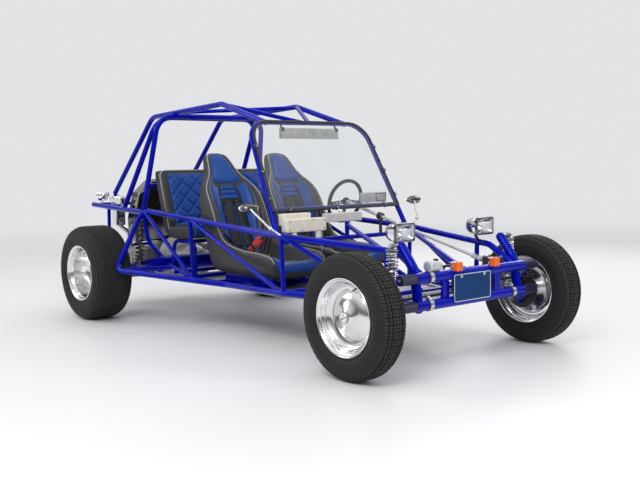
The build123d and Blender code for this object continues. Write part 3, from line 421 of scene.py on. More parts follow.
def from_mesh(name, mesh, finish, body="chassis", stands_for=(), sharp=SMOOTH_BELOW):
    """Puts a finished mesh in the scene as a piece of the object."""
    mesh.materials.clear()
    mesh.materials.append(FINISHES[finish])
    mesh.shade_smooth()
    if sharp:
        mesh.set_sharp_from_angle(angle=sharp)
    made = linked(name, mesh)
    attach(made, body)
    if stands_for:
        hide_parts(*stands_for)
    return made


# %% [markdown]
# Tread blocks, bolts, screws, gauge ticks and the floor's raised bars repeat many times. A Geometry
# Nodes tree copies one item onto marked points, each with its own turn, so that one item serves for
# all. The result is turned into a plain mesh at once, which keeps the scene light and easy to hand on.

# %% A tree that repeats one item
def repeat_tree():
    """Places Item at every point of the mesh, turned by the point's own turn, as real geometry."""
    tree = bpy.data.node_groups.new("repeat_item", "GeometryNodeTree")
    tree.interface.new_socket("Geometry", in_out="INPUT", socket_type="NodeSocketGeometry")
    tree.interface.new_socket("Item", in_out="INPUT", socket_type="NodeSocketObject")
    tree.interface.new_socket("Finish", in_out="INPUT", socket_type="NodeSocketMaterial")
    tree.interface.new_socket("Geometry", in_out="OUTPUT", socket_type="NodeSocketGeometry")
    enter = tree.nodes.new("NodeGroupInput")
    leave = tree.nodes.new("NodeGroupOutput")
    item = tree.nodes.new("GeometryNodeObjectInfo")
    turn = tree.nodes.new("GeometryNodeInputNamedAttribute")
    turn.data_type = "FLOAT_VECTOR"
    turn.inputs["Name"].default_value = "turn"
    place = tree.nodes.new("GeometryNodeInstanceOnPoints")
    real = tree.nodes.new("GeometryNodeRealizeInstances")
    paint = tree.nodes.new("GeometryNodeSetMaterial")
    links = tree.links
    links.new(enter.outputs["Geometry"], place.inputs["Points"])
    links.new(enter.outputs["Item"], item.inputs["Object"])
    links.new(item.outputs["Geometry"], place.inputs["Instance"])
    links.new(turn.outputs["Attribute"], place.inputs["Rotation"])
    links.new(place.outputs["Instances"], real.inputs["Geometry"])
    links.new(real.outputs["Geometry"], paint.inputs["Geometry"])
    links.new(enter.outputs["Finish"], paint.inputs["Material"])
    links.new(paint.outputs["Geometry"], leave.inputs["Geometry"])
    return tree


REPEAT = repeat_tree()
SOCKETS = {item.name: item.identifier for item in REPEAT.interface.items_tree if item.in_out == "INPUT"}


def repeated(name, item_shape, places, finish, body="chassis", sharp=SMOOTH_BELOW):
    """One item copied to places, each a point and a turn about the three axes, as one plain piece."""
    item = linked(name + "_item", outward(name + "_item", item_shape))
    carrier_mesh = bpy.data.meshes.new(name)
    carrier_mesh.from_pydata([tuple(point) for point, _ in places], [], [])
    turns = carrier_mesh.attributes.new("turn", "FLOAT_VECTOR", "POINT")
    turns.data.foreach_set("vector", [angle for _, turn in places for angle in turn])
    carrier = linked(name + "_carrier", carrier_mesh)
    modifier = carrier.modifiers.new("repeat", "NODES")
    modifier.node_group = REPEAT
    modifier[SOCKETS["Item"]] = item
    modifier[SOCKETS["Finish"]] = FINISHES[finish]
    bpy.context.view_layer.update()
    mesh = bpy.data.meshes.new_from_object(carrier.evaluated_get(bpy.context.evaluated_depsgraph_get()))
    for spare in (carrier, item):
        bpy.data.objects.remove(spare)
    return from_mesh(name, mesh, finish, body, sharp=sharp)


print("repeat sockets", sorted(SOCKETS))

# %% [markdown]
# A radial tyre is a soft carcass with a moulded rubber coat. The front tyres are narrow road tyres,
# whose tread is cut into seven rows of small blocks with fine slits. The rear ones are much wider, with
# rounder shoulders and twelve rows of shallower blocks. The carcass is turned and the blocks repeat.

# %% Tyres
WHEELS = {
    # place: centre x and y, tyre radius, width, edges of the rows, pitches, tread depth, shoulder start and drop,
    # groove, slit
    "front": (1.525, 0.730, 0.328, 0.165, [0.0095, 0.0310, 0.0525, 0.0735], 56, 0.0085, 0.036, 0.028, 0.0078, 0.0056),
    "rear": (-1.244, 0.808, 0.343, 0.290, [0.0, 0.0210, 0.0420, 0.0630, 0.0840, 0.1050, 0.1290], 72, 0.006,
             0.075, 0.034, 0.0060, 0.0046),
}
WALLS = {
    # the outside of the sidewall from the shoulder to the bead, radius and distance from the middle
    "front": [(0.2995, 0.0736), (0.2968, 0.0732), (0.2860, 0.0782), (0.2690, 0.0821),
              (0.2640, 0.0825), (0.2612, 0.0812), (0.2580, 0.0822), (0.2400, 0.0800), (0.2372, 0.0784),
              (0.2340, 0.0790), (0.2200, 0.0715), (0.2135, 0.0668), (0.2095, 0.0665), (0.2065, 0.0612),
              (0.2000, 0.0560), (0.1935, 0.0450)],
    "rear": [(0.3175, 0.1310), (0.3062, 0.1360), (0.3035, 0.1356), (0.2960, 0.1395), (0.2790, 0.1442),
             (0.2740, 0.1450), (0.2712, 0.1438), (0.2680, 0.1447), (0.2480, 0.1420), (0.2452, 0.1404),
             (0.2420, 0.1410), (0.2280, 0.1350), (0.2135, 0.1315), (0.2095, 0.1315), (0.2065, 0.1260),
             (0.2000, 0.1210), (0.1935, 0.1100)],
}


def crown(y, radius, half, start, drop):
    """The tread's radius at a distance y from the middle: almost flat, then falling at the shoulder."""
    over = max(0.0, abs(y) - start) / (half - start)
    return radius - 0.002 * (y / half) ** 2 - drop * over ** 2


def tread_block(y0, y1, a0, a1, skew, radius_at, depth):
    """One block of rubber between two distances across and two angles round the tyre."""
    edge_y, edge_a = min(0.0012, 0.2 * (y1 - y0)), 0.12 * (a1 - a0)
    rows = [y0, y0 + edge_y, y1 - edge_y, y1]
    columns = [a0, a0 + edge_a, a1 - edge_a, a1]
    verts = []
    for drop_all in (0.0, depth):
        for r, y in enumerate(rows):
            for c, angle in enumerate(columns):
                border = r in (0, 3) or c in (0, 3)
                radius = radius_at(y) - (0.0010 if border else 0.0) - drop_all
                turned = angle + skew * (y - (y0 + y1) / 2)
                verts.append((radius * math.cos(turned), y, radius * math.sin(turned)))
    faces = []
    for r in range(3):
        for c in range(3):
            i = 4 * r + c
            faces.append([i, i + 1, i + 5, i + 4])
    border = [0, 1, 2, 3, 7, 11, 15, 14, 13, 12, 8, 4]
    for a, b in zip(border, border[1:] + border[:1]):
        faces.append([a, a + 16, b + 16, b])
    floor = [k + 16 for k in border]
    return [verts[k] for k in range(16)] + [verts[k] for k in floor], [
        [k if k < 16 else 16 + floor.index(k) for k in face] for face in faces] + [list(range(16, 28))]


def tyre_pieces(place, s, name):
    """The tread and the carcass of one tyre; gives the number of blocks made."""
    x, y, radius, width, edges, pitches, depth, start, drop, groove, sipe = WHEELS[place]
    half = width / 2
    body = f"wheel_{place}_{name}"
    centre = Vector((x, y * s, radius))

    def radius_at(across):
        return crown(across, radius, half, start, drop)

    step = 2 * math.pi / pitches
    blocks = []
    spans = list(zip(edges, edges[1:]))
    if edges[0] > 0:
        spans.append((-edges[0] - groove / 2, edges[0] + groove / 2))
    for y0, y1 in spans:
        for sign in ((1, -1) if y0 >= 0 else (1,)):
            low, high = (y0 + groove / 2, y1 - groove / 2)
            if sign < 0:
                low, high = -high, -low
            slit = sipe / radius
            skew = 1.6 * sign if y0 >= 0 else 0.0
            blocks.append(tread_block(low, high, slit / 2, step / 2 - slit / 4, skew, radius_at, depth + 0.002))
            blocks.append(tread_block(low, high, step / 2 + slit / 4, step - slit / 2, skew, radius_at, depth + 0.002))
    places = [(centre, (0, step * i, 0)) for i in range(pitches)]
    repeated(f"tread_{place}_{name}", joined(*blocks), places, "tread_rubber", body)
    top = edges[-1] - 0.001
    base = [(radius_at(a) - depth, a) for a in (top, 0.75 * top, 0.5 * top, 0.25 * top, 0)]
    outer = base[::-1] + WALLS[place]
    profile = outer + [(r, -a) for r, a in reversed(outer[1:])]
    piece(f"carcass_{place}_{name}", lathe(profile, centre, LEFT, 100, closed=True), "tyre_rubber", body,
          (f"tyre_{place}_{name}",))
    return len(blocks) * pitches


for place in WHEELS:
    for name, s in (("left", 1), ("right", -1)):
        print("tread blocks", place, name, tyre_pieces(place, s, name))

# %% [markdown]
# The wheels are spun aluminium: a sheet pressed against a form on a lathe, so each has a rolled lip, a
# barrel with small steps and a dished disc, all exactly round and polished. A bright cap covers the
# hub nut, and a black rubber valve stands in the barrel.

# %% Wheels
def wheel_profile(lip, disc, hub_back):
    """The section of a spun wheel, from the hub cap out over the lip and back along the inside."""
    face = [(0.0, disc + 0.040), (0.011, disc + 0.040), (0.0125, disc + 0.051), (0.019, disc + 0.0545),
            (0.0262, disc + 0.052), (0.0285, disc + 0.047), (0.0288, disc + 0.036), (0.036, disc + 0.0335),
            (0.040, disc + 0.0320), (0.044, disc + 0.0285), (0.090, disc + 0.0165), (0.134, disc + 0.0025),
            (0.1385, disc - 0.0035), (0.144, disc - 0.006), (0.150, disc - 0.0035), (0.158, disc + 0.001),
            (0.166, disc + 0.010), (0.1695, disc + 0.017)]
    barrel = [(0.1745, lip - 0.040), (0.1765, lip - 0.029), (0.1825, lip - 0.024), (0.1850, lip - 0.0135),
              (0.1925, lip - 0.0105), (0.1952, lip - 0.0035), (0.1988, lip - 0.0005), (0.2030, lip),
              (0.2058, lip - 0.0028), (0.2055, lip - 0.0100), (0.2005, lip - 0.0125), (0.1965, lip - 0.0140),
              (0.1945, lip - 0.0280), (0.1895, lip - 0.0380)]
    back = [(0.1875, 0.0), (0.1895, 0.038 - lip), (0.1950, 0.024 - lip), (0.1970, 0.0135 - lip),
            (0.2055, 0.0115 - lip), (0.2058, 0.0028 - lip), (0.2030, -lip), (0.1985, 0.0005 - lip),
            (0.1930, 0.010 - lip), (0.1860, 0.024 - lip), (0.1830, 0.036 - lip), (0.1820, disc - 0.020),
            (0.1580, disc - 0.0140), (0.1440, disc - 0.0160), (0.134, disc - 0.0080), (0.090, disc + 0.0060),
            (0.0460, disc + 0.0080), (0.0460, hub_back), (0.0175, hub_back), (0.0175, hub_back + 0.030),
            (0.0, hub_back + 0.030)]
    return face + barrel + back


def wheel_pieces(place, s, name, lip, disc, hub_back):
    """The spun wheel and its valve; lip, disc and hub_back are distances from the wheel's middle plane."""
    x, y, radius = WHEELS[place][:3]
    centre = Vector((x, y * s, radius))
    body = f"wheel_{place}_{name}"
    profile = wheel_profile(lip, disc, hub_back)
    piece(f"spun_{place}_{name}", lathe(profile, centre, (0, s, 0), 144), "polished_alloy", body,
          (f"wheel_{place}_{name}",), sharp=math.radians(50))
    lean = math.radians(62)
    out = Vector((math.cos(lean), 0, math.sin(lean)))
    foot = centre + out * 0.1790 + Vector((0, s * (lip - 0.030), 0))
    stem = lathe([(0, -0.002), (0.0060, -0.002), (0.0058, 0.004), (0.0038, 0.008), (0.0036, 0.020), (0.0042, 0.021),
                  (0.0042, 0.029), (0.0030, 0.031), (0, 0.031)], foot, Vector((0, s, 0)) - out * 0.55, 16)
    piece(f"valve_{place}_{name}", stem, "rubber_trim", body)


for name, s in (("left", 1), ("right", -1)):
    wheel_pieces("front", s, name, 0.070, 0.014, -0.065)
    wheel_pieces("rear", s, name, 0.131, -0.019, -0.075)
print("wheel lip", round(2000 * max(r for r, _ in wheel_profile(0.070, 0.014, -0.065)), 1), "mm across")

# %% [markdown]
# A coil-over is a damper inside a wound steel spring that sits between two perches. The front pair is
# chrome plated, fifteen turns each, and the rear pair is longer and black. Real turns leave the damper
# and the light behind it showing between them, which a solid stack can't do.

# %% Coil-overs
def coil(top, base, radius, wire, turns, start, length):
    """The wound wire of a spring around the line from top to base, its end turns closed up."""
    top, base = Vector(top), Vector(base)
    along = (base - top).normalized()
    across = along.orthogonal().normalized()
    third = along.cross(across)
    points = []
    for i in range(int(turns * 22) + 1):
        t = i / (turns * 22)
        eased = t - 0.055 * math.sin(2 * math.pi * t)
        angle = 2 * math.pi * turns * t
        centre = top + along * (start + length * eased)
        points.append(centre + (across * math.cos(angle) + third * math.sin(angle)) * (radius - wire))
    return tube(points, wire, 8)


def coilover(top, base, radius, turns, wire):
    """Spring wire, and the damper with its perches and eyes, between two eyes."""
    top, base = Vector(top), Vector(base)
    span = (base - top).length
    start, length = 0.075 * span, 0.785 * span
    spring = coil(top, base, radius, wire, turns, start, length)
    cup, end = 0.0045, start + length
    damper = lathe([(0, 0), (0.006, 0), (0.006, start - 0.014), (radius - 0.003, start - 0.010),
                    (radius + 0.001, start - 0.006), (radius + 0.001, start - 0.001), (radius - cup, start),
                    (0.0155, start + 0.004), (0.0155, 0.52 * span), (0.0150, 0.53 * span), (0.0075, 0.535 * span),
                    (0.0075, end - 0.030), (0.0190, end - 0.022), (0.0190, end - 0.002), (radius - cup, end),
                    (radius + 0.001, end + 0.001), (radius + 0.001, end + 0.006), (0.0130, end + 0.010),
                    (0.0120, span), (0, span)], top, base - top, 40)
    eyes = [lathe([(0.0055, -0.0130), (0.0125, -0.0130), (0.0140, -0.0115), (0.0140, 0.0115), (0.0125, 0.0130),
                   (0.0055, 0.0130)], at, LEFT, 32, closed=True) for at in (top, base)]
    return spring, joined(damper, *eyes)


FRONT_SHOCK = ((1.556, 0.474, 0.672), (1.562, 0.492, 0.292))
REAR_SHOCK = ((-1.098, 0.497, 0.742), (-1.096, 0.527, 0.372))
# each stud: distances from the middle between which it lies, the eye it goes through, its radius
STUDS = {"front": [(0.435, 0.488, 0, 0.008), (0.492, 0.604, 1, 0.008)],
         "rear": [(0.489, 0.535, 1, 0.009)]}


def coilover_pair(place, ends, radius, turns, wire, spring_finish):
    """Springs, dampers and mounting studs of both coil-overs at one end of the buggy."""
    springs, dampers, studs = [], [], []
    for s in (1, -1):
        top, base = [(x, y * s, z) for x, y, z in ends]
        spring, damper = coilover(top, base, radius, turns, wire)
        springs.append(spring)
        dampers.append(damper)
        for y0, y1, which, stud_r in STUDS[place]:
            at = (top, base)[which]
            studs.append(lathe([(0, y0), (stud_r, y0), (stud_r, y1), (0.7 * stud_r, y1 + 0.003), (0, y1 + 0.003)],
                               (at[0], 0, at[2]), (0, s, 0), 24))
            head = at[1] * s + 0.013
            studs.append(lathe([(0, head), (0.0135, head), (0.0135, head + 0.006), (0.0115, head + 0.008),
                                (0, head + 0.008)], (at[0], 0, at[2]), (0, s, 0), 6))
    if place == "rear":
        for s in (1, -1):
            x, y, z = ends[0]
            studs.append(rod(0.010, z, 0.785, (x, y * s, 0), UP))
    piece(f"{place}_springs", joined(*springs), spring_finish, "chassis", (f"{place}_shocks",))
    piece(f"{place}_dampers", joined(*dampers), "damper_grey", "chassis", (f"{place}_shocks",))
    piece(f"{place}_shock_studs", joined(*studs), "bright_steel", "chassis", (f"{place}_shocks",))


coilover_pair("front", FRONT_SHOCK, 0.0340, 15, 0.0044, "spring_chrome")
coilover_pair("rear", REAR_SHOCK, 0.036, 9, 0.0058, "spring_black")
for place, (top, base) in (("front", FRONT_SHOCK), ("rear", REAR_SHOCK)):
    print(place, "coil-over", round(1000 * (Vector(base) - Vector(top)).length), "mm between its eyes")

# %% [markdown]
# Padded upholstery is foam in a sewn cover, so it bulges between its seams. The pads start slightly
# thin, get an even skin of small faces, and are blown up a little as cloth with no gravity; how far
# any point may move is capped, so a pad keeps its outline. Quilting is pressed in afterwards.

# %% Blowing up a pad
CLOTH_STEPS = 20


def evaluated_mesh(holder):
    """The holder's mesh with its modifiers applied; the holder itself is removed."""
    bpy.context.view_layer.update()
    mesh = bpy.data.meshes.new_from_object(holder.evaluated_get(bpy.context.evaluated_depsgraph_get()))
    bpy.data.objects.remove(holder)
    return mesh


def puffed(name, shape, voxel=0.007, cap=0.006, pressure=4.0):
    """A padded mesh: remeshed, inflated as cloth within the cap, and subdivided once."""
    rough = linked(name + "_rough", outward(name, shape))
    remesh = rough.modifiers.new("skin", "REMESH")
    remesh.mode = "VOXEL"
    remesh.voxel_size = voxel
    skin = evaluated_mesh(rough)
    skin = inflated(name, skin, cap, pressure)
    soft = linked(name + "_soft", skin)
    soft.modifiers.new("smooth", "SUBSURF").levels = 1
    return evaluated_mesh(soft)


def inflated(name, skin, cap, pressure):
    """The skin after some steps of cloth under pressure, with no point further out than cap."""
    before = [v.co.copy() for v in skin.vertices]
    blown = linked(name + "_blown", skin)
    cloth = blown.modifiers.new("cloth", "CLOTH")
    cloth.settings.quality = 4
    cloth.settings.mass = 0.3
    cloth.settings.use_pressure = True
    cloth.settings.uniform_pressure_force = pressure
    cloth.settings.effector_weights.gravity = 0.0
    cloth.point_cache.frame_start, cloth.point_cache.frame_end = 1, CLOTH_STEPS
    for step in range(1, CLOTH_STEPS + 1):
        bpy.context.scene.frame_set(step)
    after = evaluated_mesh(blown)
    bpy.context.scene.frame_set(1)
    for vertex, start in zip(after.vertices, before):
        shift = vertex.co - start
        if shift.length > cap:
            vertex.co = start + shift.normalized() * cap
    return after


def pressed(mesh, rule):
    """Moves each point along its normal by what the rule gives for its place and normal."""
    moves = [vertex.normal * rule(vertex.co, vertex.normal) for vertex in mesh.vertices]
    for vertex, move in zip(mesh.vertices, moves):
        vertex.co += move
    mesh.update()
    return mesh


def shifted(mesh, offset, flip=False):
    """A copy of a mesh moved by offset, mirrored across Y when flip is set."""
    copy = mesh.copy()
    cast = bmesh.new()
    cast.from_mesh(copy)
    if flip:
        bmesh.ops.scale(cast, vec=(1, -1, 1), verts=cast.verts)
        bmesh.ops.reverse_faces(cast, faces=cast.faces)
    bmesh.ops.translate(cast, vec=offset, verts=cast.verts)
    cast.to_mesh(copy)
    cast.free()
    return copy


print("simulation", "on")

# %% [markdown]
# A high-back bucket seat is a moulded shell with upholstery laid in it. Its form runs along one line,
# from the front lip over the cushion and up the back to the rounded head, and at each station the
# cover lies flat in the middle, climbs the bolster, rolls over its rim and goes round the shell. The
# stations below carry the middle, the rim and the back of the shell, and a half width.

# %% The form of a bucket seat
SEAT_STATIONS = [
    # middle x, z     rim x, z      back x, z     half width, all in millimetres
    (500, 418, 503, 436, 484, 397, 196), (511, 458, 511, 488, 470, 394, 208),
    (499, 482, 501, 518, 440, 393, 213), (440, 484, 455, 540, 380, 393, 216),
    (330, 471, 340, 556, 290, 393, 218), (200, 464, 215, 562, 160, 393, 220),
    (90, 464, 105, 578, 40, 394, 221), (10, 472, 15, 602, -70, 396, 222),
    (-45, 492, -40, 640, -160, 402, 224), (-85, 530, -78, 688, -225, 430, 225),
    (-118, 590, -104, 735, -262, 505, 226), (-150, 660, -128, 790, -292, 600, 226),
    (-182, 735, -155, 845, -322, 690, 226), (-213, 810, -188, 900, -348, 780, 223),
    (-245, 880, -222, 945, -372, 860, 214), (-275, 945, -256, 985, -395, 930, 190),
    (-303, 1000, -292, 1025, -418, 1000, 152), (-332, 1050, -324, 1067, -438, 1060, 122),
    (-362, 1100, -356, 1112, -458, 1115, 106), (-390, 1143, -386, 1152, -474, 1150, 93),
    (-414, 1172, -411, 1179, -481, 1175, 76), (-433, 1189, -431, 1193, -479, 1189, 50),
    (-450, 1197, -449, 1198, -468, 1196, 24),
]
RIM_CLIMB = [(0.0, 0.0), (0.25, 0.0), (0.45, 0.02), (0.55, 0.10), (0.64, 0.32), (0.72, 0.62), (0.80, 0.88),
             (0.87, 0.985), (0.92, 1.0), (0.96, 0.97), (0.985, 0.88), (1.0, 0.72)]
SHELL_SIDE = [(1.0, 0.45, 0.0), (0.995, 0.15, 0.05), (0.975, 0.0, 0.25), (0.94, 0.0, 0.5), (0.88, 0.0, 0.75),
              (0.78, 0.0, 0.92), (0.6, 0.0, 1.0), (0.3, 0.0, 1.0)]
SEAT_Y = 0.262
LAST_STATION = len(SEAT_STATIONS) - 1


def seat_station(v):
    """The seven numbers of a station at a fractional place, in metres, on a smooth line through the table."""
    i = min(int(v), LAST_STATION - 1)
    t = v - i
    rows = [SEAT_STATIONS[min(max(k, 0), LAST_STATION)] for k in (i - 1, i, i + 1, i + 2)]
    values = []
    for a, b, c, d in zip(*rows):
        values.append(0.0005 * (2 * b + (c - a) * t + (2 * a - 5 * b + 4 * c - d) * t ** 2
                                + (3 * b - a - 3 * c + d) * t ** 3))
    return values


def climb(share):
    """How far up the bolster the cover is at this share of the half width."""
    share = min(abs(share), 1.0)
    for (u0, h0), (u1, h1) in zip(RIM_CLIMB, RIM_CLIMB[1:]):
        if share <= u1:
            t = (share - u0) / (u1 - u0)
            return h0 + (h1 - h0) * t * t * (3 - 2 * t)
    return RIM_CLIMB[-1][1]


def cover_point(u, v, lift=0.0):
    """A point of the seat's cover, u across from -1 to 1 and v along the stations, lifted off the cover."""
    cx, cz, tx, tz, kx, kz, half = seat_station(v)
    h = climb(u)
    point = Vector((cx + (tx - cx) * h, u * half, cz + (tz - cz) * h))
    if lift:
        du = cover_point(min(u + 0.01, 1.0), v) - cover_point(max(u - 0.01, -1.0), v)
        dv = cover_point(u, min(v + 0.02, LAST_STATION)) - cover_point(u, max(v - 0.02, 0.0))
        point += du.cross(dv).normalized() * lift
    return point


def seat_shell():
    """The whole seat as one closed form, looped round its section at each station."""
    across = [(u, h, 0.0) for u, h in RIM_CLIMB] + SHELL_SIDE
    loop = across + [(0.0, 0.0, 1.0)] + [(-u, h, k) for u, h, k in reversed(across[1:])]
    rings, steps = [], 110
    for i in range(steps + 1):
        cx, cz, tx, tz, kx, kz, half = seat_station(LAST_STATION * i / steps)
        rings.append([Vector(((cx + (tx - cx) * h) * (1 - k) + kx * k, u * half,
                              (cz + (tz - cz) * h) * (1 - k) + kz * k)) for u, h, k in loop])
    return lofted(rings)


def pad_faces(rows, columns):
    """Faces of a grid of points and of an equal grid under it, closed round the border."""
    width = columns + 1
    sheet = (rows + 1) * width
    faces = []
    for r in range(rows):
        for c in range(columns):
            i = r * width + c
            faces += [[i, i + 1, i + 1 + width, i + width],
                      [i + sheet, i + sheet + width, i + sheet + width + 1, i + sheet + 1]]
    border = (list(range(width)) + [r * width + columns for r in range(1, rows + 1)]
              + [rows * width + c for c in range(columns - 1, -1, -1)] + [r * width for r in range(rows - 1, 0, -1)])
    return faces + [[a, a + sheet, b + sheet, b] for a, b in zip(border, border[1:] + border[:1])]


def cover_pad(low, high, v0, v1, thick, sink=0.010, rows=26, columns=14):
    """A closed pad on the cover, crowned to nothing at its edges; low and high give u at v0 and at v1."""
    verts = []
    for side in (1, 0):
        for r in range(rows + 1):
            for c in range(columns + 1):
                a, b = c / columns, r / rows
                u0, u1 = low[0] + (low[1] - low[0]) * b, high[0] + (high[1] - high[0]) * b
                u, v = u0 + (u1 - u0) * a, v0 + (v1 - v0) * b
                edge = min(1.0, 5.0 * min(a, 1 - a), 5.0 * min(b, 1 - b))
                rise = thick * math.sqrt(max(0.0, 1 - (1 - edge) ** 2)) * (0.82 + 0.18 * math.sin(math.pi * a))
                verts.append(cover_point(u, v, rise + 0.001 if side else -sink))
    return verts, pad_faces(rows, columns)


print("seat stations", len(SEAT_STATIONS))

# %% [markdown]
# The cover is sewn from two vinyls: blue on the head, the back's panel, the bolster faces and the front
# roll, charcoal on the cushion, where a sitter wears it, and on the outside. Three blue ribs, each a pad
# of its own, cross the shoulders over the dark slot for the harness.

# %% Bucket seats
SEAT_PADS = [
    # name, u of the low edge and of the high edge (each at v from and at v to), v from, v to, thickness,
    # voxel, finish, mirrored
    ("head", (-0.86, -0.80), (0.86, 0.80), 15.62, 21.3, 0.007, 0.0095, "seat_vinyl", False),
    ("bolster", (0.375, 0.375), (0.62, 0.84), 8.7, 15.55, 0.007, 0.0095, "seat_vinyl", True),
    ("wing", (0.65, 0.87), (0.95, 0.96), 8.7, 15.55, 0.005, 0.0095, "seat_charcoal", True),
    ("rib_low", (-0.345, -0.345), (0.345, 0.345), 14.00, 14.46, 0.009, 0.0055, "seat_vinyl", False),
    ("rib_mid", (-0.345, -0.345), (0.345, 0.345), 14.48, 14.94, 0.009, 0.0055, "seat_vinyl", False),
    ("rib_top", (-0.345, -0.345), (0.345, 0.345), 14.96, 15.42, 0.009, 0.0055, "seat_vinyl", False),
    ("insert", (-0.345, -0.345), (0.345, 0.345), 8.8, 13.62, 0.007, 0.0095, "seat_vinyl", False),
    ("cushion", (-0.44, -0.40), (0.44, 0.40), 3.1, 8.6, 0.011, 0.011, "insert_charcoal", False),
    ("front_roll", (-0.92, -0.92), (0.92, 0.92), 0.35, 3.0, 0.006, 0.0095, "seat_vinyl", False),
    ("cushion_bolster", (0.47, 0.43), (0.93, 0.93), 3.1, 8.6, 0.006, 0.011, "seat_charcoal", True),
]


def both_seats(name, mesh, finish, mirrored=False):
    """A padded mesh on both seats, and on both sides of each when it is mirrored; gives the number made."""
    for end, s in (("left", 1), ("right", -1)):
        for flip in ((False, True) if mirrored else (False,)):
            tag = ("_outer" if flip == (s < 0) else "_inner") if mirrored else ""
            made = from_mesh(f"seat_{end}_{name}{tag}", shifted(mesh, (0, SEAT_Y * s, 0), flip), finish,
                             stands_for=(f"seat_{end}",), sharp=0)
    return 4 if mirrored else 2


both_seats("shell", outward("seat_shell", seat_shell()), "seat_charcoal")
pads_made = 0
for name, low, high, v0, v1, thick, voxel, finish, mirrored in SEAT_PADS:
    pad = puffed(name, cover_pad(low, high, v0, v1, thick), voxel)
    pads_made += both_seats(name, pad, finish, mirrored=mirrored)
print("pads of a seat", pads_made // 2)

# %% [markdown]
# Piping hides the joins between panels: a thin cord sewn into the seam. Along the bolster rims it is
# light grey, a painted highlight where it catches the light, and it is black around the middle panels.
# The slot for the harness is an oval dark lip on the cover round a thin black pad, painted shade in place of the hole.

# %% Piping, slot and harness
STRAP_U = (-0.185, 0.185)


def cover_line(u, v0, v1, lift, steps):
    """Points along the cover at u."""
    return [cover_point(u, v0 + (v1 - v0) * i / steps, lift) for i in range(steps + 1)]


def cover_strap(u, v0, v1, width, thick, lift, steps=48):
    """Flat webbing along the cover at u, as a thin closed ribbon."""
    rings = []
    for i in range(steps + 1):
        v = v0 + (v1 - v0) * i / steps
        middle = cover_point(u, v, lift)
        out = (cover_point(u, v, lift + 0.01) - middle).normalized()
        rings.append([middle + Vector((0, dy, 0)) + out * dn for dy, dn in (
            (-width / 2, 0), (width / 2, 0), (width / 2, thick), (-width / 2, thick))])
    return lofted(rings)


def moved(shape, y):
    """The shape, shifted across the buggy."""
    return [v + Vector((0, y, 0)) for v in shape[0]], shape[1]


def per_seat(name, shape, finish):
    """The same smooth piece on both seats."""
    for end, s in (("left", 1), ("right", -1)):
        piece(f"seat_{end}_{name}", moved(shape, SEAT_Y * s), finish, sharp=0)


# The rim piping's light grey is a painted highlight.
per_seat("rim_piping", joined(*[tube(cover_line(u, 1.2, 20.5, 0.0015, 120), 0.0034, 8) for u in (-0.955, 0.955)]),
         "piping_painted_highlight")
per_seat("panel_piping", joined(*[tube(cover_line(u, 8.7, 15.5, 0.004, 90), 0.0024, 8) for u in (-0.36, 0.36)]),
         "rubber_trim")
slot_ring = [cover_point(0.27 * math.cos(a), 13.81 + 0.15 * math.sin(a), 0.009)
             for a in [2 * math.pi * i / 40 for i in range(40)]]
per_seat("slot_lip", tube(slot_ring, 0.0040, 8, looped=True), "rubber_trim")
# A thin black pad inside the lip: painted shade where the slot's hole would be; no hole is cut.
per_seat("slot_dark", cover_pad((-0.265, -0.265), (0.265, 0.265), 13.67, 13.95, 0.006, 0.004, 6, 20), "dash_black")
per_seat("harness_straps", joined(*[cover_strap(u, 5.4, 13.8, 0.048, 0.002, 0.0165) for u in STRAP_U]), "webbing")
per_seat("harness_pads", joined(*[cover_strap(u, 9.4, 13.50, 0.062, 0.011, 0.014, 30) for u in STRAP_U]), "webbing")
strap_line = cover_line(STRAP_U[1], 5.4, 13.8, 0.0165, 48)
print("harness strap", round(1000 * sum((b - a).length for a, b in zip(strap_line, strap_line[1:]))), "mm long")

# %% [markdown]
# Sheet metal and trim need a few more shapes than bars and turned pieces: blocks with their edges
# broken, outlines with rounded corners, plates cut with holes, and strips that follow an edge. Each
# helper gives plain vertices and faces, so that the pieces below stay a few lines long.

# %% Blocks, outlines, plates and strips
def shape_of(cast):
    """The vertices and faces of a bmesh, which is then freed."""
    cast.verts.index_update()
    result = [v.co.copy() for v in cast.verts], [[v.index for v in face.verts] for face in cast.faces]
    cast.free()
    return result


def rounded(shape, edge, steps=2):
    """The shape with every edge rounded."""
    cast = bmesh.new()
    verts = [cast.verts.new(v) for v in shape[0]]
    for face in shape[1]:
        cast.faces.new([verts[i] for i in face])
    bmesh.ops.recalc_face_normals(cast, faces=cast.faces)
    bmesh.ops.bevel(cast, geom=cast.edges, offset=edge, segments=steps, profile=0.5, affect="EDGES")
    return shape_of(cast)


def block(low, high, edge=0.0, steps=2):
    """A block between two corners, its edges rounded."""
    (x0, y0, z0), (x1, y1, z1) = low, high
    verts = [Vector((x, y, z)) for z in (z0, z1) for x, y in ((x0, y0), (x1, y0), (x1, y1), (x0, y1))]
    faces = [[3, 2, 1, 0], [4, 5, 6, 7], [0, 1, 5, 4], [1, 2, 6, 5], [2, 3, 7, 6], [3, 0, 4, 7]]
    return rounded((verts, faces), edge, steps) if edge else (verts, faces)


def prism(profile, y0, y1, edge=0.0, steps=3):
    """A side outline of (x, z) points between two widths."""
    count = len(profile)
    verts = [Vector((x, y, z)) for y in (y0, y1) for x, z in profile]
    faces = [[i, (i + 1) % count, (i + 1) % count + count, i + count] for i in range(count)]
    shape = verts, faces + [list(range(count))[::-1], list(range(count, 2 * count))]
    return rounded(shape, edge, steps) if edge else shape


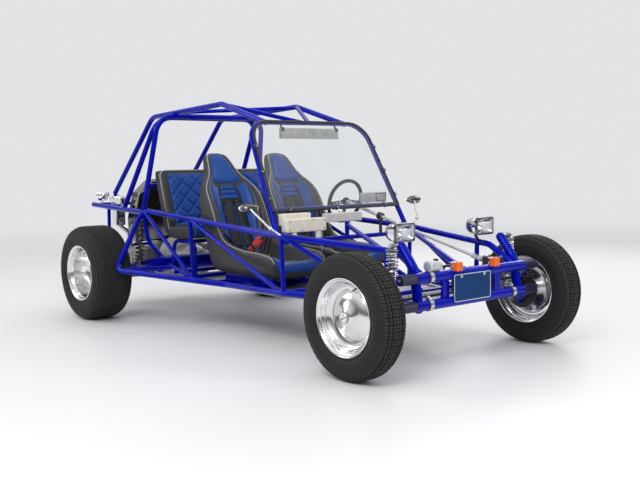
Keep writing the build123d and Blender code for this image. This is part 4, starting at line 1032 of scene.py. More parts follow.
def bent_line(points, radii, steps=6, looped=False):
    """Points along straight runs with round corners."""
    points = [Vector(p) for p in points]
    line = []
    for i, corner in enumerate(points):
        radius = radii[i] if isinstance(radii, (list, tuple)) else radii
        if not radius or (not looped and i in (0, len(points) - 1)):
            line.append(corner)
            continue
        back = (points[i - 1] - corner).normalized()
        on = (points[(i + 1) % len(points)] - corner).normalized()
        half = back.angle(on) / 2
        middle = corner + (back + on).normalized() * radius / math.sin(half)
        start, end = [corner + way * radius / math.tan(half) - middle for way in (back, on)]
        turn = math.pi - 2 * half
        for k in range(steps + 1):
            t = k / steps
            line.append(middle + (start * math.sin((1 - t) * turn) + end * math.sin(t * turn)) / math.sin(turn))
    return line


def strip(points, normal, section):
    """A section of (outward, along the normal) corners carried round a flat closed line of points."""
    normal = Vector(normal).normalized()
    rings = []
    for i, point in enumerate(points):
        out = (points[(i + 1) % len(points)] - points[i - 1]).normalized().cross(normal)
        rings.append([point + out * a + normal * b for a, b in section])
    return lofted(rings, looped=True)


def drilled(outline, holes, thick, at, across, up, bevel=0.0004):
    """A flat plate with an outline of (x, y) points and round holes of (x, y, radius), on a plane."""
    curve = bpy.data.curves.new("drilled", "CURVE")
    curve.dimensions, curve.fill_mode = "2D", "BOTH"
    curve.extrude, curve.bevel_depth = thick / 2 - bevel, bevel
    rings = [outline] + [[(x + r * math.cos(math.pi * k / 14), y + r * math.sin(math.pi * k / 14))
                          for k in range(28)] for x, y, r in holes]
    for ring in rings:
        line = curve.splines.new("POLY")
        line.points.add(len(ring) - 1)
        for point, (x, y) in zip(line.points, ring):
            point.co = (x, y, 0, 1)
        line.use_cyclic_u = True
    mesh = evaluated_mesh(linked("drilled", curve))
    across, up = Vector(across).normalized(), Vector(up).normalized()
    third = across.cross(up)
    verts = [Vector(at) + across * v.co.x + up * v.co.y + third * v.co.z for v in mesh.vertices]
    cast = bmesh.new()
    made = [cast.verts.new(v) for v in verts]
    for face in mesh.polygons:
        cast.faces.new([made[i] for i in face.vertices])
    bmesh.ops.remove_doubles(cast, verts=cast.verts, dist=0.00005)
    bpy.data.meshes.remove(mesh)
    return shape_of(cast)


def aimed(axis):
    """The turn that points an item's own Z along an axis."""
    return tuple(Vector(axis).to_track_quat("Z", "Y").to_euler())


HEX_BOLT = joined(rod(0.0092, 0, 0.0014, (0, 0, 0), UP),
                  lathe([(0, 0.0014), (0.0068, 0.0014), (0.0068, 0.0056), (0.0060, 0.0062), (0, 0.0062)],
                        (0, 0, 0), UP, 6))
ROUND_SCREW = lathe([(0, 0), (0.0040, 0), (0.0038, 0.0010), (0.0026, 0.0019), (0, 0.0022)], (0, 0, 0), UP, 20)
print("bolt faces", len(HEX_BOLT[1]))

# %% [markdown]
# A bench for two is two padded blocks, a cushion and a leaning back, in charcoal vinyl. Its blue face
# is quilted: stitching along both diagonals pulls the cover down into the foam and leaves diamonds
# about an arm's width of a hand across. Piping in light grey, a painted highlight, runs round the edge of the back.

# %% Rear bench
QUILT = 0.122
BACK_FOOT, BACK_TOP = Vector((-0.733, 0, 0.700)), Vector((-0.852, 0, 1.068))
BACK_UP = (BACK_TOP - BACK_FOOT).normalized()


def path_pad(path, half, thick, sink=0.008, columns=60, roll=0.05):
    """A closed pad over a side line of points, between two widths, crowned and rolled at its edges."""
    length = [0.0]
    for a, b in zip(path, path[1:]):
        length.append(length[-1] + (b - a).length)
    verts = []
    for side in (1, 0):
        for i, point in enumerate(path):
            heading = (path[min(i + 1, len(path) - 1)] - path[max(i - 1, 0)]).normalized()
            normal = Vector(LEFT).cross(heading)
            if normal.x + normal.z < 0:
                normal = -normal
            for c in range(columns + 1):
                y = -half + 2 * half * c / columns
                edge = min(1.0, (half - abs(y)) / roll, length[i] / roll, (length[-1] - length[i]) / roll)
                rise = thick * math.sqrt(max(0.0, 1 - (1 - edge) ** 2)) + 0.001
                verts.append(point + Vector((0, y, 0)) + normal * (rise if side else -sink))
    return verts, pad_faces(len(path) - 1, columns)


def quilted(along):
    """A rule that presses stitched diagonals into a face and leaves each diamond raised."""
    def rule(point, normal):
        t = along(point, normal)
        if t is None:
            return 0.0
        gaps = []
        for lean in (1, -1):
            share = (point.y + lean * t) / QUILT
            gaps.append(abs(share - round(share)) * QUILT * 0.707)
        near = min(gaps)
        return 0.0035 - 0.0105 * math.exp(-(near / 0.0075) ** 2)
    return rule


def bench_piece(name, mesh, finish):
    """A padded part of the bench."""
    made = from_mesh(name, mesh, finish, stands_for=("rear_bench",), sharp=0)


back_core = prism([(-0.737, 0.690), (-0.857, 1.075), (-0.880, 1.089), (-0.933, 1.083), (-0.938, 1.060),
                   (-0.830, 0.655), (-0.796, 0.615), (-0.742, 0.615)], -0.467, 0.467, 0.010)
seat_core = prism([(-0.459, 0.596), (-0.456, 0.680), (-0.500, 0.697), (-0.760, 0.684), (-0.797, 0.596)],
                  -0.467, 0.467, 0.014)
bench_piece("bench_back_core", puffed("bench_back_core", back_core, 0.022, 0.004), "seat_charcoal")
bench_piece("bench_seat_core", puffed("bench_seat_core", seat_core, 0.022, 0.004), "seat_charcoal")
back_path = [BACK_FOOT.lerp(BACK_TOP, i / 24) for i in range(25)]
back_pad = puffed("bench_back_pad", path_pad(back_path, 0.418, 0.014), 0.010, 0.006)
bench_piece("bench_back_pad", pressed(back_pad, quilted(
    lambda p, n: (p - BACK_FOOT).dot(BACK_UP) if n.x > 0.55 else None)), "seat_vinyl")
seat_path = curve_through([(-0.742, 0, 0.687), (-0.640, 0, 0.692), (-0.520, 0, 0.697), (-0.472, 0, 0.688),
                           (-0.457, 0, 0.660), (-0.458, 0, 0.612)], 7)
seat_pad = puffed("bench_seat_pad", path_pad(seat_path, 0.432, 0.012), 0.010, 0.006)
bench_piece("bench_seat_pad", pressed(seat_pad, quilted(lambda p, n: p.x if n.z > 0.55 else None)), "seat_vinyl")
edge_line = bent_line([(-0.745, -0.462, 0.660), (-0.868, -0.462, 1.083), (-0.868, 0.462, 1.083),
                       (-0.745, 0.462, 0.660)], 0.05)
# The bench piping's light grey is a painted highlight.
piece("bench_piping", joined(tube(edge_line, 0.0042, 8), tube([(-0.462, y, 0.603) for y in (-0.44, 0.44)], 0.0035, 8)),
      "piping_painted_highlight", sharp=0)
print("bench pads", len(back_pad.vertices), "and", len(seat_pad.vertices), "points")

# %% [markdown]
# The steering wheel is a padded ring on three flat spokes, drilled to save weight and to look quick.
# The plates are cut with their holes through, so the daylight shows in them. Behind the hub a long
# bright shaft runs in a bearing to the steering box, through a universal joint at its end.

# %% Steering wheel and column
COLUMN_TOP = Vector((0.345, 0.270, 0.856))
COLUMN = Vector((1.220, 0, -0.323)).normalized()
ACROSS, RISE = Vector(LEFT), Vector((-COLUMN.z, 0, COLUMN.x))
RING = 0.140


def grip_ring():
    """The padded ring, with soft finger bumps on its inner and rear side."""
    verts, faces = [], []
    long_way, round_way = 144, 18
    for i in range(long_way):
        a = 2 * math.pi * i / long_way
        out = ACROSS * math.cos(a) + RISE * math.sin(a)
        for k in range(round_way):
            b = 2 * math.pi * k / round_way
            inner = max(0.0, -math.cos(b) * 0.6 + math.sin(b) * 0.5)
            r = 0.0128 - 0.0013 * inner * (0.5 + 0.5 * math.cos(24 * a))
            verts.append(COLUMN_TOP + out * (RING + r * math.cos(b)) + COLUMN * r * math.sin(b))
    for i in range(long_way):
        for k in range(round_way):
            j, m = (i + 1) % long_way, (k + 1) % round_way
            faces.append([i * round_way + k, j * round_way + k, j * round_way + m, i * round_way + m])
    return verts, faces


def spoke(degrees):
    """A flat spoke at an angle round the hub, with three holes through it."""
    a = math.radians(degrees)
    out = ACROSS * math.cos(a) + RISE * math.sin(a)
    outline = [(0.018, -0.013), (0.060, -0.0125), (0.118, -0.015), (0.134, -0.021), (0.134, 0.021),
               (0.118, 0.015), (0.060, 0.0125), (0.018, 0.013)]
    return drilled(outline, [(0.050, 0, 0.0080), (0.077, 0, 0.0070), (0.102, 0, 0.0060)], 0.004,
                   COLUMN_TOP + COLUMN * 0.006, out, COLUMN.cross(out))


WHEEL = "steering_wheel"
SHAFT_START, SHAFT_END = 0.022, 1.2435
piece("wheel_grip", grip_ring(), "steering_trim", WHEEL, (WHEEL,), sharp=0)
piece("wheel_spokes", joined(*[spoke(a) for a in (-8, 188, 270)]), "black_steel", WHEEL, (WHEEL,))
piece("wheel_hub", lathe([(0, 0.026), (0.014, 0.026), (0.0245, 0.020), (0.0262, 0.012), (0.0262, 0.0), (0.0250, -0.002),
                          (0.0200, -0.0025), (0.0195, -0.008), (0.0150, -0.0115), (0, -0.0125)],
                         COLUMN_TOP, COLUMN, 48), "black_steel", WHEEL, (WHEEL,))
hub_bolts = [(COLUMN_TOP + COLUMN * -0.0018 + (ACROSS * math.cos(a) + RISE * math.sin(a)) * 0.0226, aimed(-COLUMN))
             for a in [math.pi * k / 3 for k in range(6)]]
repeated("wheel_bolts", lathe([(0, 0), (0.0024, 0), (0.0024, 0.0012), (0.0012, 0.0016), (0, 0.0010)], (0, 0, 0),
                              UP, 12), hub_bolts, "bright_steel", WHEEL)
piece("steering_shaft", lathe([(0, SHAFT_START), (0.0165, SHAFT_START), (0.0165, 0.046), (0.0098, 0.052),
                               (0.0098, 1.150),
                               (0.0150, 1.152), (0.0155, 1.156), (0.0155, 1.172), (0.0120, 1.176), (0.0095, 1.178),
                               (0.0095, 1.196), (0.0120, 1.198), (0.0155, 1.202), (0.0155, 1.226), (0.0098, 1.230),
                               (0.0098, SHAFT_END), (0, SHAFT_END)], COLUMN_TOP, COLUMN, 32),
      "silver_paint", WHEEL, (WHEEL,))
yokes = []
for turn, way in ((ACROSS, 1), (RISE, -1)):
    for s in (1, -1):
        middle = COLUMN_TOP + COLUMN * 1.187 + turn * 0.0115 * s
        yokes.append(rod(0.0085, -0.0035, 0.0035, middle, turn))
piece("shaft_joint", joined(*yokes), "bright_steel", WHEEL, (WHEEL,))
bearing_at = COLUMN_TOP + COLUMN * ((0.690 - 0.345) / COLUMN.x)
bearing_bolts = [(bearing_at + COLUMN * s * 0.015 + (ACROSS * math.cos(a) + RISE * math.sin(a)) * 0.0180,
                  aimed(COLUMN * s)) for s in (1, -1) for a in (0.8, 2.35, 3.93, 5.5)]
repeated("bearing_bolts", ROUND_SCREW, bearing_bolts, "bright_steel")
print("shaft length", round(SHAFT_END - SHAFT_START, 4), "m")

# %% [markdown]
# The pane is a flat sheet held against its hoop by a rubber channel, which keeps the sheet's edge off
# the steel and shows as a black line all round. Small bolted clips press the rubber to the tube.

# %% Windshield trim and clips
PANE_FOOT = Vector((0.656, 0, 0.682))
PANE_UP = Vector((-0.368, 0, 0.694)).normalized()
PANE_OUT = Vector((PANE_UP.z, 0, -PANE_UP.x))


def on_pane(y, up, out=0.0193):
    """A point at y across, up the pane from its foot and out from it."""
    return PANE_FOOT + Vector((0, y, 0)) + PANE_UP * up + PANE_OUT * out


pane_line = bent_line([on_pane(-0.5277, 0.150), on_pane(0.5277, 0.150), on_pane(0.480, 0.7855),
                       on_pane(-0.480, 0.7855)], [0.012, 0.012, 0.150, 0.150], 12, looped=True)
channel = [(0.0035, -0.0026), (0.0035, 0.0040), (0.0010, 0.0062), (-0.0110, 0.0062), (-0.0140, 0.0046),
           (-0.0140, 0.0034), (-0.0020, 0.0030), (-0.0020, -0.0026)]
piece("pane_trim", strip(pane_line, PANE_OUT, channel), "rubber_trim")
clips, clip_bolts = [], []


def add_clip(spot, low, high):
    """A small block that presses the rubber to the tube, with a screw in its outer face."""
    verts, faces = block(low, high, 0.002)
    clips.append(([spot + PANE_OUT * v.x + Vector((0, v.y, 0)) + PANE_UP * v.z for v in verts], faces))
    clip_bolts.append((spot + PANE_OUT * (high[0] - 0.0002), aimed(PANE_OUT)))


for s in (1, -1):
    for up in (0.235, 0.420, 0.600):
        half = 0.539 - 0.059 * up / 0.7855
        add_clip(on_pane(half * s, up, 0.021), (-0.0070, -0.0120, -0.0130), (0.0070, 0.0120, 0.0130))
for y in (-0.40, -0.02, 0.40):
    add_clip(on_pane(y, 0.156, 0.019), (-0.0080, -0.0130, -0.0120), (0.0090, 0.0130, 0.0120))
piece("pane_clips", joined(*clips), "black_steel")
repeated("pane_clip_bolts", ROUND_SCREW, clip_bolts, "bright_steel")
print("clips", len(clips))

# %% [markdown]
# Each side mirror is an oval chromed dish on a thin bent stalk, with flat glass let into its rear face.
# The inside mirror is a long row of angled glasses in one black frame, so that the driver sees past
# both sides of the roof.

# %% Mirrors
def oval(profile, at, axis, across, wide, tall, steps=64, closed=False):
    """Rings of an ellipse given as (share of the half sizes, distance along the axis)."""
    axis, across = Vector(axis).normalized(), Vector(across).normalized()
    up = axis.cross(across)
    verts, rings = [], []
    for share, distance in profile:
        start = len(verts)
        count = steps if share else 1
        for i in range(count):
            a = 2 * math.pi * i / steps
            verts.append(Vector(at) + axis * distance + (across * wide * math.cos(a) + up * tall * math.sin(a)) * share)
        rings.append(list(range(start, start + count)))
    return verts, ring_faces(rings, steps, closed)


def mirror_oval(profile, closed=False):
    """A form of the side mirror's head at the centre now being built."""
    return oval(profile, centre, look, LEFT, 0.068, 0.028, closed=closed)


heads, rims, glasses, stalks = [], [], [], []
for s in (1, -1):
    centre = Vector((0.584, 0.690 * s, 0.854))
    look = Vector((1, 0, 0.1)).normalized()
    heads.append(mirror_oval([(0, 0.0110), (0.30, 0.0105), (0.60, 0.0085), (0.85, 0.0035), (0.955, -0.004),
                              (0.955, -0.0085), (0, -0.0085)]))
    rims.append(mirror_oval([(0.945, -0.001), (0.985, 0.0008), (1.0, -0.003), (1.0, -0.0090), (0.975, -0.0108),
                             (0.93, -0.0095), (0.93, -0.0085)], closed=True))
    glasses.append(mirror_oval([(0, -0.0086), (0.93, -0.0086), (0.93, -0.0096), (0, -0.0096)]))
    line = bent_line([(0.701, 0.540 * s, 0.682), (0.682, 0.622 * s, 0.740), centre], 0.04, 10)
    stalks.append(tube(line, 0.0058, 14))
    stalks.append(lathe([(0, -0.006), (0.0105, -0.004), (0.0115, 0.004), (0.0085, 0.012), (0, 0.013)], line[1],
                        line[1] - line[0], 24))
# The mirror dishes are in darkened chrome, a painted dark reflection.
piece("mirror_heads", joined(*heads), "chrome_painted_dark", stands_for=("mirrors",))
piece("mirror_rims", joined(*rims), "chrome", stands_for=("mirrors",))
piece("mirror_glass", joined(*glasses), "mirror_glass", stands_for=("mirrors",))
piece("mirror_stalks", joined(*stalks), "chrome", stands_for=("mirrors",))
frame_parts, panes, backs = [block((0.3035, -0.246, 1.272), (0.3125, 0.246, 1.340), 0.003)], [], []
for k in range(5):
    y0 = -0.2435 + 0.0976 * k
    panes.append(block((0.3005, y0 + 0.0015, 1.2755), (0.3045, y0 + 0.0945, 1.3365), 0.0012))
    backs.append(block((0.3115, y0 + 0.0004, 1.2725), (0.3150, y0 + 0.0972, 1.3395), 0.0012))
for y in (-0.226, 0.226):
    frame_parts.append(tube([(0.308, y, 1.332), (0.296, y, 1.356), (0.290, y, 1.366)], 0.0058, 12))
    frame_parts.append(block((0.3020, y - 0.012, 1.318), (0.3165, y + 0.012, 1.344), 0.002))
piece("inside_mirror_frame", joined(*frame_parts), "black_steel", stands_for=("mirrors",))
piece("inside_mirror_panes", joined(*panes), "mirror_glass", stands_for=("mirrors",))
piece("inside_mirror_backs", joined(*backs), "mirror_back", stands_for=("mirrors",))
print("side mirrors", len(heads), "inside glasses", len(panes))

# %% [markdown]
# A headlamp is a stamped bowl that carries a reflector, a bulb and a pressed glass lens. The bowl is
# chromed outside and silvered within, so a ring of sections runs from the bulb out over the rim and
# back round the bowl, and the clear lens sits in front of it.

# %% Headlamps
def rounded_ring(x, at, wide, tall, corner, steps=6):
    """The outline of a rounded rectangle across the buggy at x."""
    y, z = at
    half_w, half_t = wide / 2, tall / 2
    corner = min(corner, half_w * 0.98, half_t * 0.98)
    corners = [(x, y - half_w, z - half_t), (x, y + half_w, z - half_t), (x, y + half_w, z + half_t),
               (x, y - half_w, z + half_t)]
    return bent_line(corners, corner, steps, looped=True)


bowls, lenses, bulbs, stems, lamp_rims = [], [], [], [], []
for s in (1, -1):
    at = (0.328 * s, 0.730)
    bowls.append(lofted([rounded_ring(x, at, w, t, c) for x, w, t, c in (
        (1.447, 0.020, 0.016, 0.008), (1.449, 0.050, 0.040, 0.018), (1.460, 0.086, 0.062, 0.028),
        (1.478, 0.116, 0.080, 0.028), (1.497, 0.132, 0.086, 0.016), (1.5035, 0.136, 0.090, 0.012),
        (1.5035, 0.144, 0.098, 0.013), (1.480, 0.1445, 0.0985, 0.016), (1.466, 0.141, 0.095, 0.020),
        (1.446, 0.136, 0.093, 0.026), (1.428, 0.126, 0.087, 0.032), (1.410, 0.108, 0.076, 0.032),
        (1.397, 0.082, 0.060, 0.026), (1.391, 0.056, 0.042, 0.020))]))
    lamp_rims.append(lofted([rounded_ring(x, at, w, t, c) for x, w, t, c in (
        (1.5105, 0.132, 0.086, 0.010), (1.5115, 0.138, 0.092, 0.012), (1.5100, 0.147, 0.101, 0.014),
        (1.5060, 0.150, 0.104, 0.014), (1.4960, 0.150, 0.104, 0.014), (1.4940, 0.1455, 0.0995, 0.014),
        (1.5030, 0.1450, 0.0990, 0.014), (1.5040, 0.132, 0.086, 0.010))], looped=True))
    lenses.append(lofted([rounded_ring(x, at, w, t, c) for x, w, t, c in (
        (1.5050, 0.131, 0.085, 0.010), (1.5095, 0.131, 0.085, 0.010), (1.5115, 0.115, 0.070, 0.016),
        (1.5125, 0.070, 0.044, 0.020))]))
    bulbs.append(lathe([(0, -0.004), (0.012, -0.004), (0.013, 0.004), (0.010, 0.010), (0.006, 0.026), (0.003, 0.030),
                        (0, 0.031)], (1.449, at[0], at[1]), FORWARD))
    stems.append(joined(tube(bent_line([(1.434, at[0], 0.694), (1.434, at[0], 0.672), (1.434, 0.366 * s, 0.628)], 0.01),
                             0.0085, 14),
                        lathe([(0, 0), (0.016, 0), (0.016, 0.007), (0.012, 0.010), (0, 0.010)],
                              (1.434, at[0], 0.683), UP, 6)))
piece("headlamp_bowls", joined(*bowls), "chrome", stands_for=("headlamps",))
# The headlamp rims are in darkened chrome, a painted dark reflection.
piece("headlamp_rims", joined(*lamp_rims), "chrome_painted_dark", stands_for=("headlamps",))
piece("headlamp_lenses", joined(*lenses), "lamp_glass", stands_for=("headlamps",))
piece("headlamp_bulbs", joined(*bulbs), "bulb_glow", stands_for=("headlamps",))
piece("headlamp_stems", joined(*stems), "black_steel", stands_for=("headlamps",))
print("headlamps", len(bowls))

# %% [markdown]
# The small fittings on the nose are bought parts bolted to the beam: square amber lamps on bright
# bases, a dark blue plate with a pale raised border, steel straps with a rubber liner, a fluid tank, and
# a thin rod between the tower and the bracket. The plate is left blank.

# %% Nose fittings
lens_parts, base_parts = [], []
for s in (1, -1):
    y = 0.153 * s
    lens_parts.append(block((1.7040, y - 0.0235, 0.5255), (1.7375, y + 0.0235, 0.5725), 0.004, 3))
    for k in range(5):
        z = 0.5300 + 0.0085 * k
        lens_parts.append(block((1.7365, y - 0.0195, z), (1.7385, y + 0.0195, 0.5340 + 0.0085 * k), 0.0006, 1))
    base_parts.append(block((1.6905, y - 0.0240, 0.5225), (1.7045, y + 0.0240, 0.5735), 0.0022))
    base_parts.append(rod(0.0095, 0.509, 0.526, (1.697, y, 0), UP, 6))
piece("indicator_lenses", joined(*lens_parts), "amber_lens", stands_for=("indicators",))
piece("indicator_bases", joined(*base_parts), "chrome", stands_for=("indicators",))
border = bent_line([(1.7163, -0.1735, 0.3605), (1.7163, 0.1195, 0.3605), (1.7163, 0.1195, 0.5035),
                    (1.7163, -0.1735, 0.5035)], 0.010, 8, looped=True)
piece("plate_border", strip(border, FORWARD, [(0.0018, -0.0004), (0.0018, 0.0005), (-0.0018, 0.0005),
                                             (-0.0018, -0.0004)]), "pale_enamel")
repeated("plate_bolts", HEX_BOLT, [((1.7160, y, 0.4935), aimed(FORWARD)) for y in (-0.118, 0.067)], "bright_steel")
straps, liners = [], []
for x, z, spots in ((1.683, 0.505, (-0.335,)), (1.683, 0.362, (-0.340, 0.340))):
    for y in spots:
        for target, r, wide in ((straps, 0.0338, 0.013), (liners, 0.0316, 0.017)):
            target.append(band(0.0300, r, -wide, wide, (x, y, z), LEFT, 48))
        straps.append(block((x - 0.006, y - 0.010, z + 0.031), (x + 0.006, y + 0.010, z + 0.046), 0.0015))
piece("beam_straps", joined(*straps), "bright_steel")
piece("strap_liners", joined(*liners), "rubber_trim")
repeated("strap_bolts", HEX_BOLT, [((1.689, y, z + 0.038), aimed(FORWARD)) for z, y in (
    (0.505, -0.335), (0.362, -0.340), (0.362, 0.340))], "bright_steel")
piece("reservoir_tank", lathe([(0, -0.0475), (0.020, -0.0475), (0.0265, -0.044), (0.0290, -0.038), (0.0290, -0.030),
                               (0.0278, -0.029), (0.0278, -0.026), (0.0290, -0.025), (0.0290, 0.025), (0.0278, 0.026),
                               (0.0278, 0.029), (0.0290, 0.030), (0.0290, 0.038), (0.0265, 0.044), (0.020, 0.0475),
                               (0, 0.0475)], (1.683, -0.3025, 0.562), LEFT, 48), "silver_paint",
      stands_for=("reservoir",))
piece("reservoir_cap", lathe([(0, 0.024), (0.0135, 0.024), (0.0135, 0.034), (0.0115, 0.036), (0, 0.036)],
                             (1.683, -0.282, 0.562), UP), "rubber_trim")
piece("tank_saddle", block((1.665, -0.325, 0.528), (1.701, -0.280, 0.5365), 0.002), "black_steel")
piece("nose_rod", tube([(1.683, -0.385, 0.447), (1.683, -0.232, 0.447)], 0.0045, 14), "bright_steel")
stub_sleeves, stub_bolts = [], []
for s in (1, -1):
    for z in (0.505, 0.362):
        stub_sleeves.append(lathe([(0.0272, 0.441), (0.0284, 0.442), (0.0284, 0.456), (0.0280, 0.457), (0.0280, 0.545),
                                   (0.0270, 0.5492), (0, 0.5502), (0, 0.441)], (1.683, 0, z), (0, s, 0), 56))
        stub_bolts.append(((1.683, 0.5500 * s, z), aimed((0, s, 0))))
piece("stub_sleeves", joined(*stub_sleeves), "stub_navy")
repeated("stub_bolts", HEX_BOLT, stub_bolts, "bright_steel")
print("straps", len(liners), "stub bolts", len(stub_bolts))

# %% [markdown]
# Small controls make a cabin read as real: screws on the glove box, two switches, gauges turned to the
# driver with pointers and ticks, ribbed rubber on the pedals, a pleated boot under the gear lever, a
# harness with a red buckle on each seat, and a second buckle leaning on the right seat's outer bolster.

# %% Cabin fittings
repeated("glove_screws", ROUND_SCREW, [((0.7022, y, z), aimed(FORWARD)) for y, z in (
    (-0.480, 0.715), (-0.480, 0.765), (-0.390, 0.712), (-0.300, 0.768), (-0.216, 0.715), (-0.216, 0.765))],
         "black_steel")
toggles = []
for y in (-0.125, -0.060):
    toggles.append(lathe([(0, 0.7995), (0.0080, 0.7995), (0.0080, 0.8035), (0.0058, 0.8045), (0.0056, 0.8080),
                          (0, 0.8080)], (0.667, y, 0), UP))
    toggles.append(lathe([(0, 0), (0.0024, 0), (0.0036, 0.016), (0.0030, 0.0190), (0, 0.0200)],
                         (0.667, y, 0.8070), (-0.35, 0, 1), 16))
piece("dash_toggles", joined(*toggles), "chrome")
conduit = bent_line([(0.668, 0.020, 0.7460), (0.668, 0.020, 0.700), (0.676, -0.005, 0.668)], 0.02, 8)
piece("dash_conduit", tube(conduit, 0.0085, 14), "cream_vinyl")

dials, bezels, needles, ticks = [], [], [], []
GAUGES = [
    # centre x, y, z, radius, and the pointer's lean in degrees
    (0.6495, 0.075, 0.773, 0.0205, -40), (0.6495, 0.020, 0.773, 0.0205, 10), (0.6495, -0.105, 0.773, 0.0205, -75),
    (0.6495, -0.155, 0.773, 0.0205, 30), (0.4815, 0.335, 0.879, 0.0270, -120), (0.4815, 0.430, 0.879, 0.0270, -65)]
for x, y, z, r, lean in GAUGES:
    dials.append(rod(r - 0.001, 0.0002, 0.0010, (x, y, z), BACKWARD, 40))
    bezels.append(lathe([(r - 0.0018, 0.0), (r + 0.0016, 0.0), (r + 0.0018, 0.0030), (r + 0.0002, 0.0044),
                         (r - 0.0018, 0.0026)], (x, y, z), BACKWARD, 40, closed=True))
    needle = block((-0.0007, -0.0009, -0.2 * r), (0.0, 0.0009, 0.72 * r))
    lean = math.radians(lean)
    needles.append(([Vector((x - 0.0016 + v.x, y + v.y * math.cos(lean) + v.z * math.sin(lean),
                             z - v.y * math.sin(lean) + v.z * math.cos(lean))) for v in needle[0]], needle[1]))
    for k in range(13):
        a = math.radians(-132 + 22 * k)
        ticks.append(((x - 0.0010, y + 0.80 * r * math.sin(a), z + 0.80 * r * math.cos(a)), (-a, 0, 0)))
piece("gauge_dials", joined(*dials), "dash_black")
piece("gauge_bezels", joined(*bezels), "chrome")
piece("gauge_needles", joined(*needles), "amber_lens")
repeated("gauge_ticks", block((-0.0005, -0.0005, -0.0018), (0.0, 0.0005, 0.0018)), ticks, "pale_enamel", sharp=0)
pod_window = bent_line([(0.5182, y, z) for y, z in ((0.394, 0.854), (0.481, 0.854), (0.481, 0.904), (0.394, 0.904))],
                       0.006, 5, looped=True)
piece("pod_frame", strip(pod_window, FORWARD, [(0.0022, -0.0006), (0.0022, 0.0010), (-0.0022, 0.0010),
                                               (-0.0022, -0.0006)]), "dash_black")

pads, ribs = [], []
for y in (0.135, 0.205, 0.275):
    pads.append(block((1.1775, y - 0.0268, 0.3735), (1.1815, y + 0.0268, 0.4365), 0.0012))
    for k in range(7):
        z = 0.3795 + 0.0080 * k
        ribs.append(block((1.1755, y - 0.0235, z), (1.1780, y + 0.0235, z + 0.0038), 0.0006, 1))
piece("pedal_rubbers", joined(*pads, *ribs), "rubber_trim")
boot = [(0, 0.3210), (0.0600, 0.3210), (0.0600, 0.3240)]
for k in range(6):
    r = 0.0555 - 0.0062 * k
    z = 0.3240 + 0.0125 * k
    boot += [(r - 0.0050, z + 0.0030), (r, z + 0.0080), (r - 0.0015, z + 0.0120)]
boot += [(0.0120, 0.4035), (0.0085, 0.4120), (0, 0.4120)]
piece("shifter_boot", lathe(boot, (0.410, 0, 0), UP, 48), "rubber_trim", stands_for=("shifter",))
piece("shifter_lever", lathe([(0, 0.400), (0.0068, 0.400), (0.0068, 0.640), (0.0085, 0.645), (0.0085, 0.668),
                              (0.0060, 0.672), (0.0060, 0.682), (0, 0.682)], (0.410, 0, 0), UP),
      "chrome", stands_for=("shifter",))
piece("shifter_knob", lathe([(0, 0.674), (0.0095, 0.675), (0.0160, 0.682), (0.0215, 0.692), (0.0235, 0.702),
                             (0.0215, 0.713), (0.0150, 0.7205), (0.0070, 0.7235), (0, 0.724)],
                            (0.410, 0, 0), UP, 32), "black_steel", stands_for=("shifter",))


def seat_spot(u, v, lift, s):
    """A point over the cover of the left seat (s 1) or the right one (s -1)."""
    return cover_point(u, v, lift) + Vector((0, SEAT_Y * s, 0))


LAP_STEPS = 18
LAP_WIDE = Vector((0.80, 0, -0.25)).normalized()
lap, buckles, tongues = [], [], []
for s in (1, -1):
    for way in (-1, 1):
        path = [seat_spot(0.86 * way * (1 - t) + 0.10 * t * way, 8.2 - 1.5 * math.sin(math.pi * t / 2),
                          0.016 + 0.012 * math.sin(math.pi * t), s)
                for t in [k / LAP_STEPS for k in range(LAP_STEPS + 1)]]
        rings = []
        for i, point in enumerate(path):
            heading = (path[min(i + 1, LAP_STEPS)] - path[max(i - 1, 0)]).normalized()
            up = heading.cross(LAP_WIDE).normalized() * -way
            rings.append([point + LAP_WIDE * w + up * h for w, h in (
                (-0.024, 0), (0.024, 0), (0.024, 0.0022), (-0.024, 0.0022))])
        lap.append(lofted(rings))
    middle = seat_spot(0.0, 6.75, 0.034, s)
    cell = block((-0.030, -0.036, -0.012), (0.030, 0.036, 0.012), 0.004, 3)
    buckles.append(([middle + v for v in cell[0]], cell[1]))
    button = block((-0.012, -0.018, 0.010), (0.012, 0.018, 0.0150), 0.002)
    buckles.append(([middle + v for v in button[0]], button[1]))
    tongue = block((-0.018, 0.030, -0.0025), (0.018, 0.062, 0.0015), 0.001)
    tongues.append(([middle + v for v in tongue[0]], tongue[1]))
piece("lap_straps", joined(*lap), "webbing", sharp=0)
piece("harness_buckles", joined(*buckles), "buckle_red")
piece("buckle_tongues", joined(*tongues), "brass")
LOW_END, HIGH_END = Vector((0.222, -0.438, 0.560)), Vector((0.330, -0.426, 0.646))
ALONG = (HIGH_END - LOW_END).normalized()
SIDEWAYS = ALONG.cross(Vector((0.55, -0.84, 0))).normalized()
FACING = SIDEWAYS.cross(ALONG)


def beside_seat(share, low, high, edge=0.003):
    """A block in the loose buckle's own directions, at a share of the way between its two ends."""
    at = LOW_END.lerp(HIGH_END, share)
    cell = block(low, high, edge, 3)
    return [at + ALONG * v.x + SIDEWAYS * v.y + FACING * v.z for v in cell[0]], cell[1]


piece("loose_buckle", joined(beside_seat(0.70, (-0.034, -0.024, -0.010), (0.034, 0.024, 0.010)),
                             beside_seat(0.16, (-0.020, -0.020, -0.008), (0.016, 0.020, 0.008))), "buckle_red")
piece("loose_buckle_slide", beside_seat(0.36, (-0.016, -0.017, -0.0065), (0.018, 0.017, 0.0085), 0.002), "black_steel")
piece("loose_tongue", beside_seat(-0.06, (-0.030, -0.013, -0.0015), (0.016, 0.013, 0.0015), 0.001), "brass")
piece("loose_strap", tube(curve_through([HIGH_END - ALONG * 0.010, HIGH_END + Vector((0.004, 0.016, 0.004)),
                                         Vector((0.285, -0.395, 0.570)), Vector((0.230, -0.385, 0.500))]), 0.0050, 8),
      "webbing", sharp=0)
print("gauges", len(GAUGES), "ticks", len(ticks), "lap straps", len(lap))

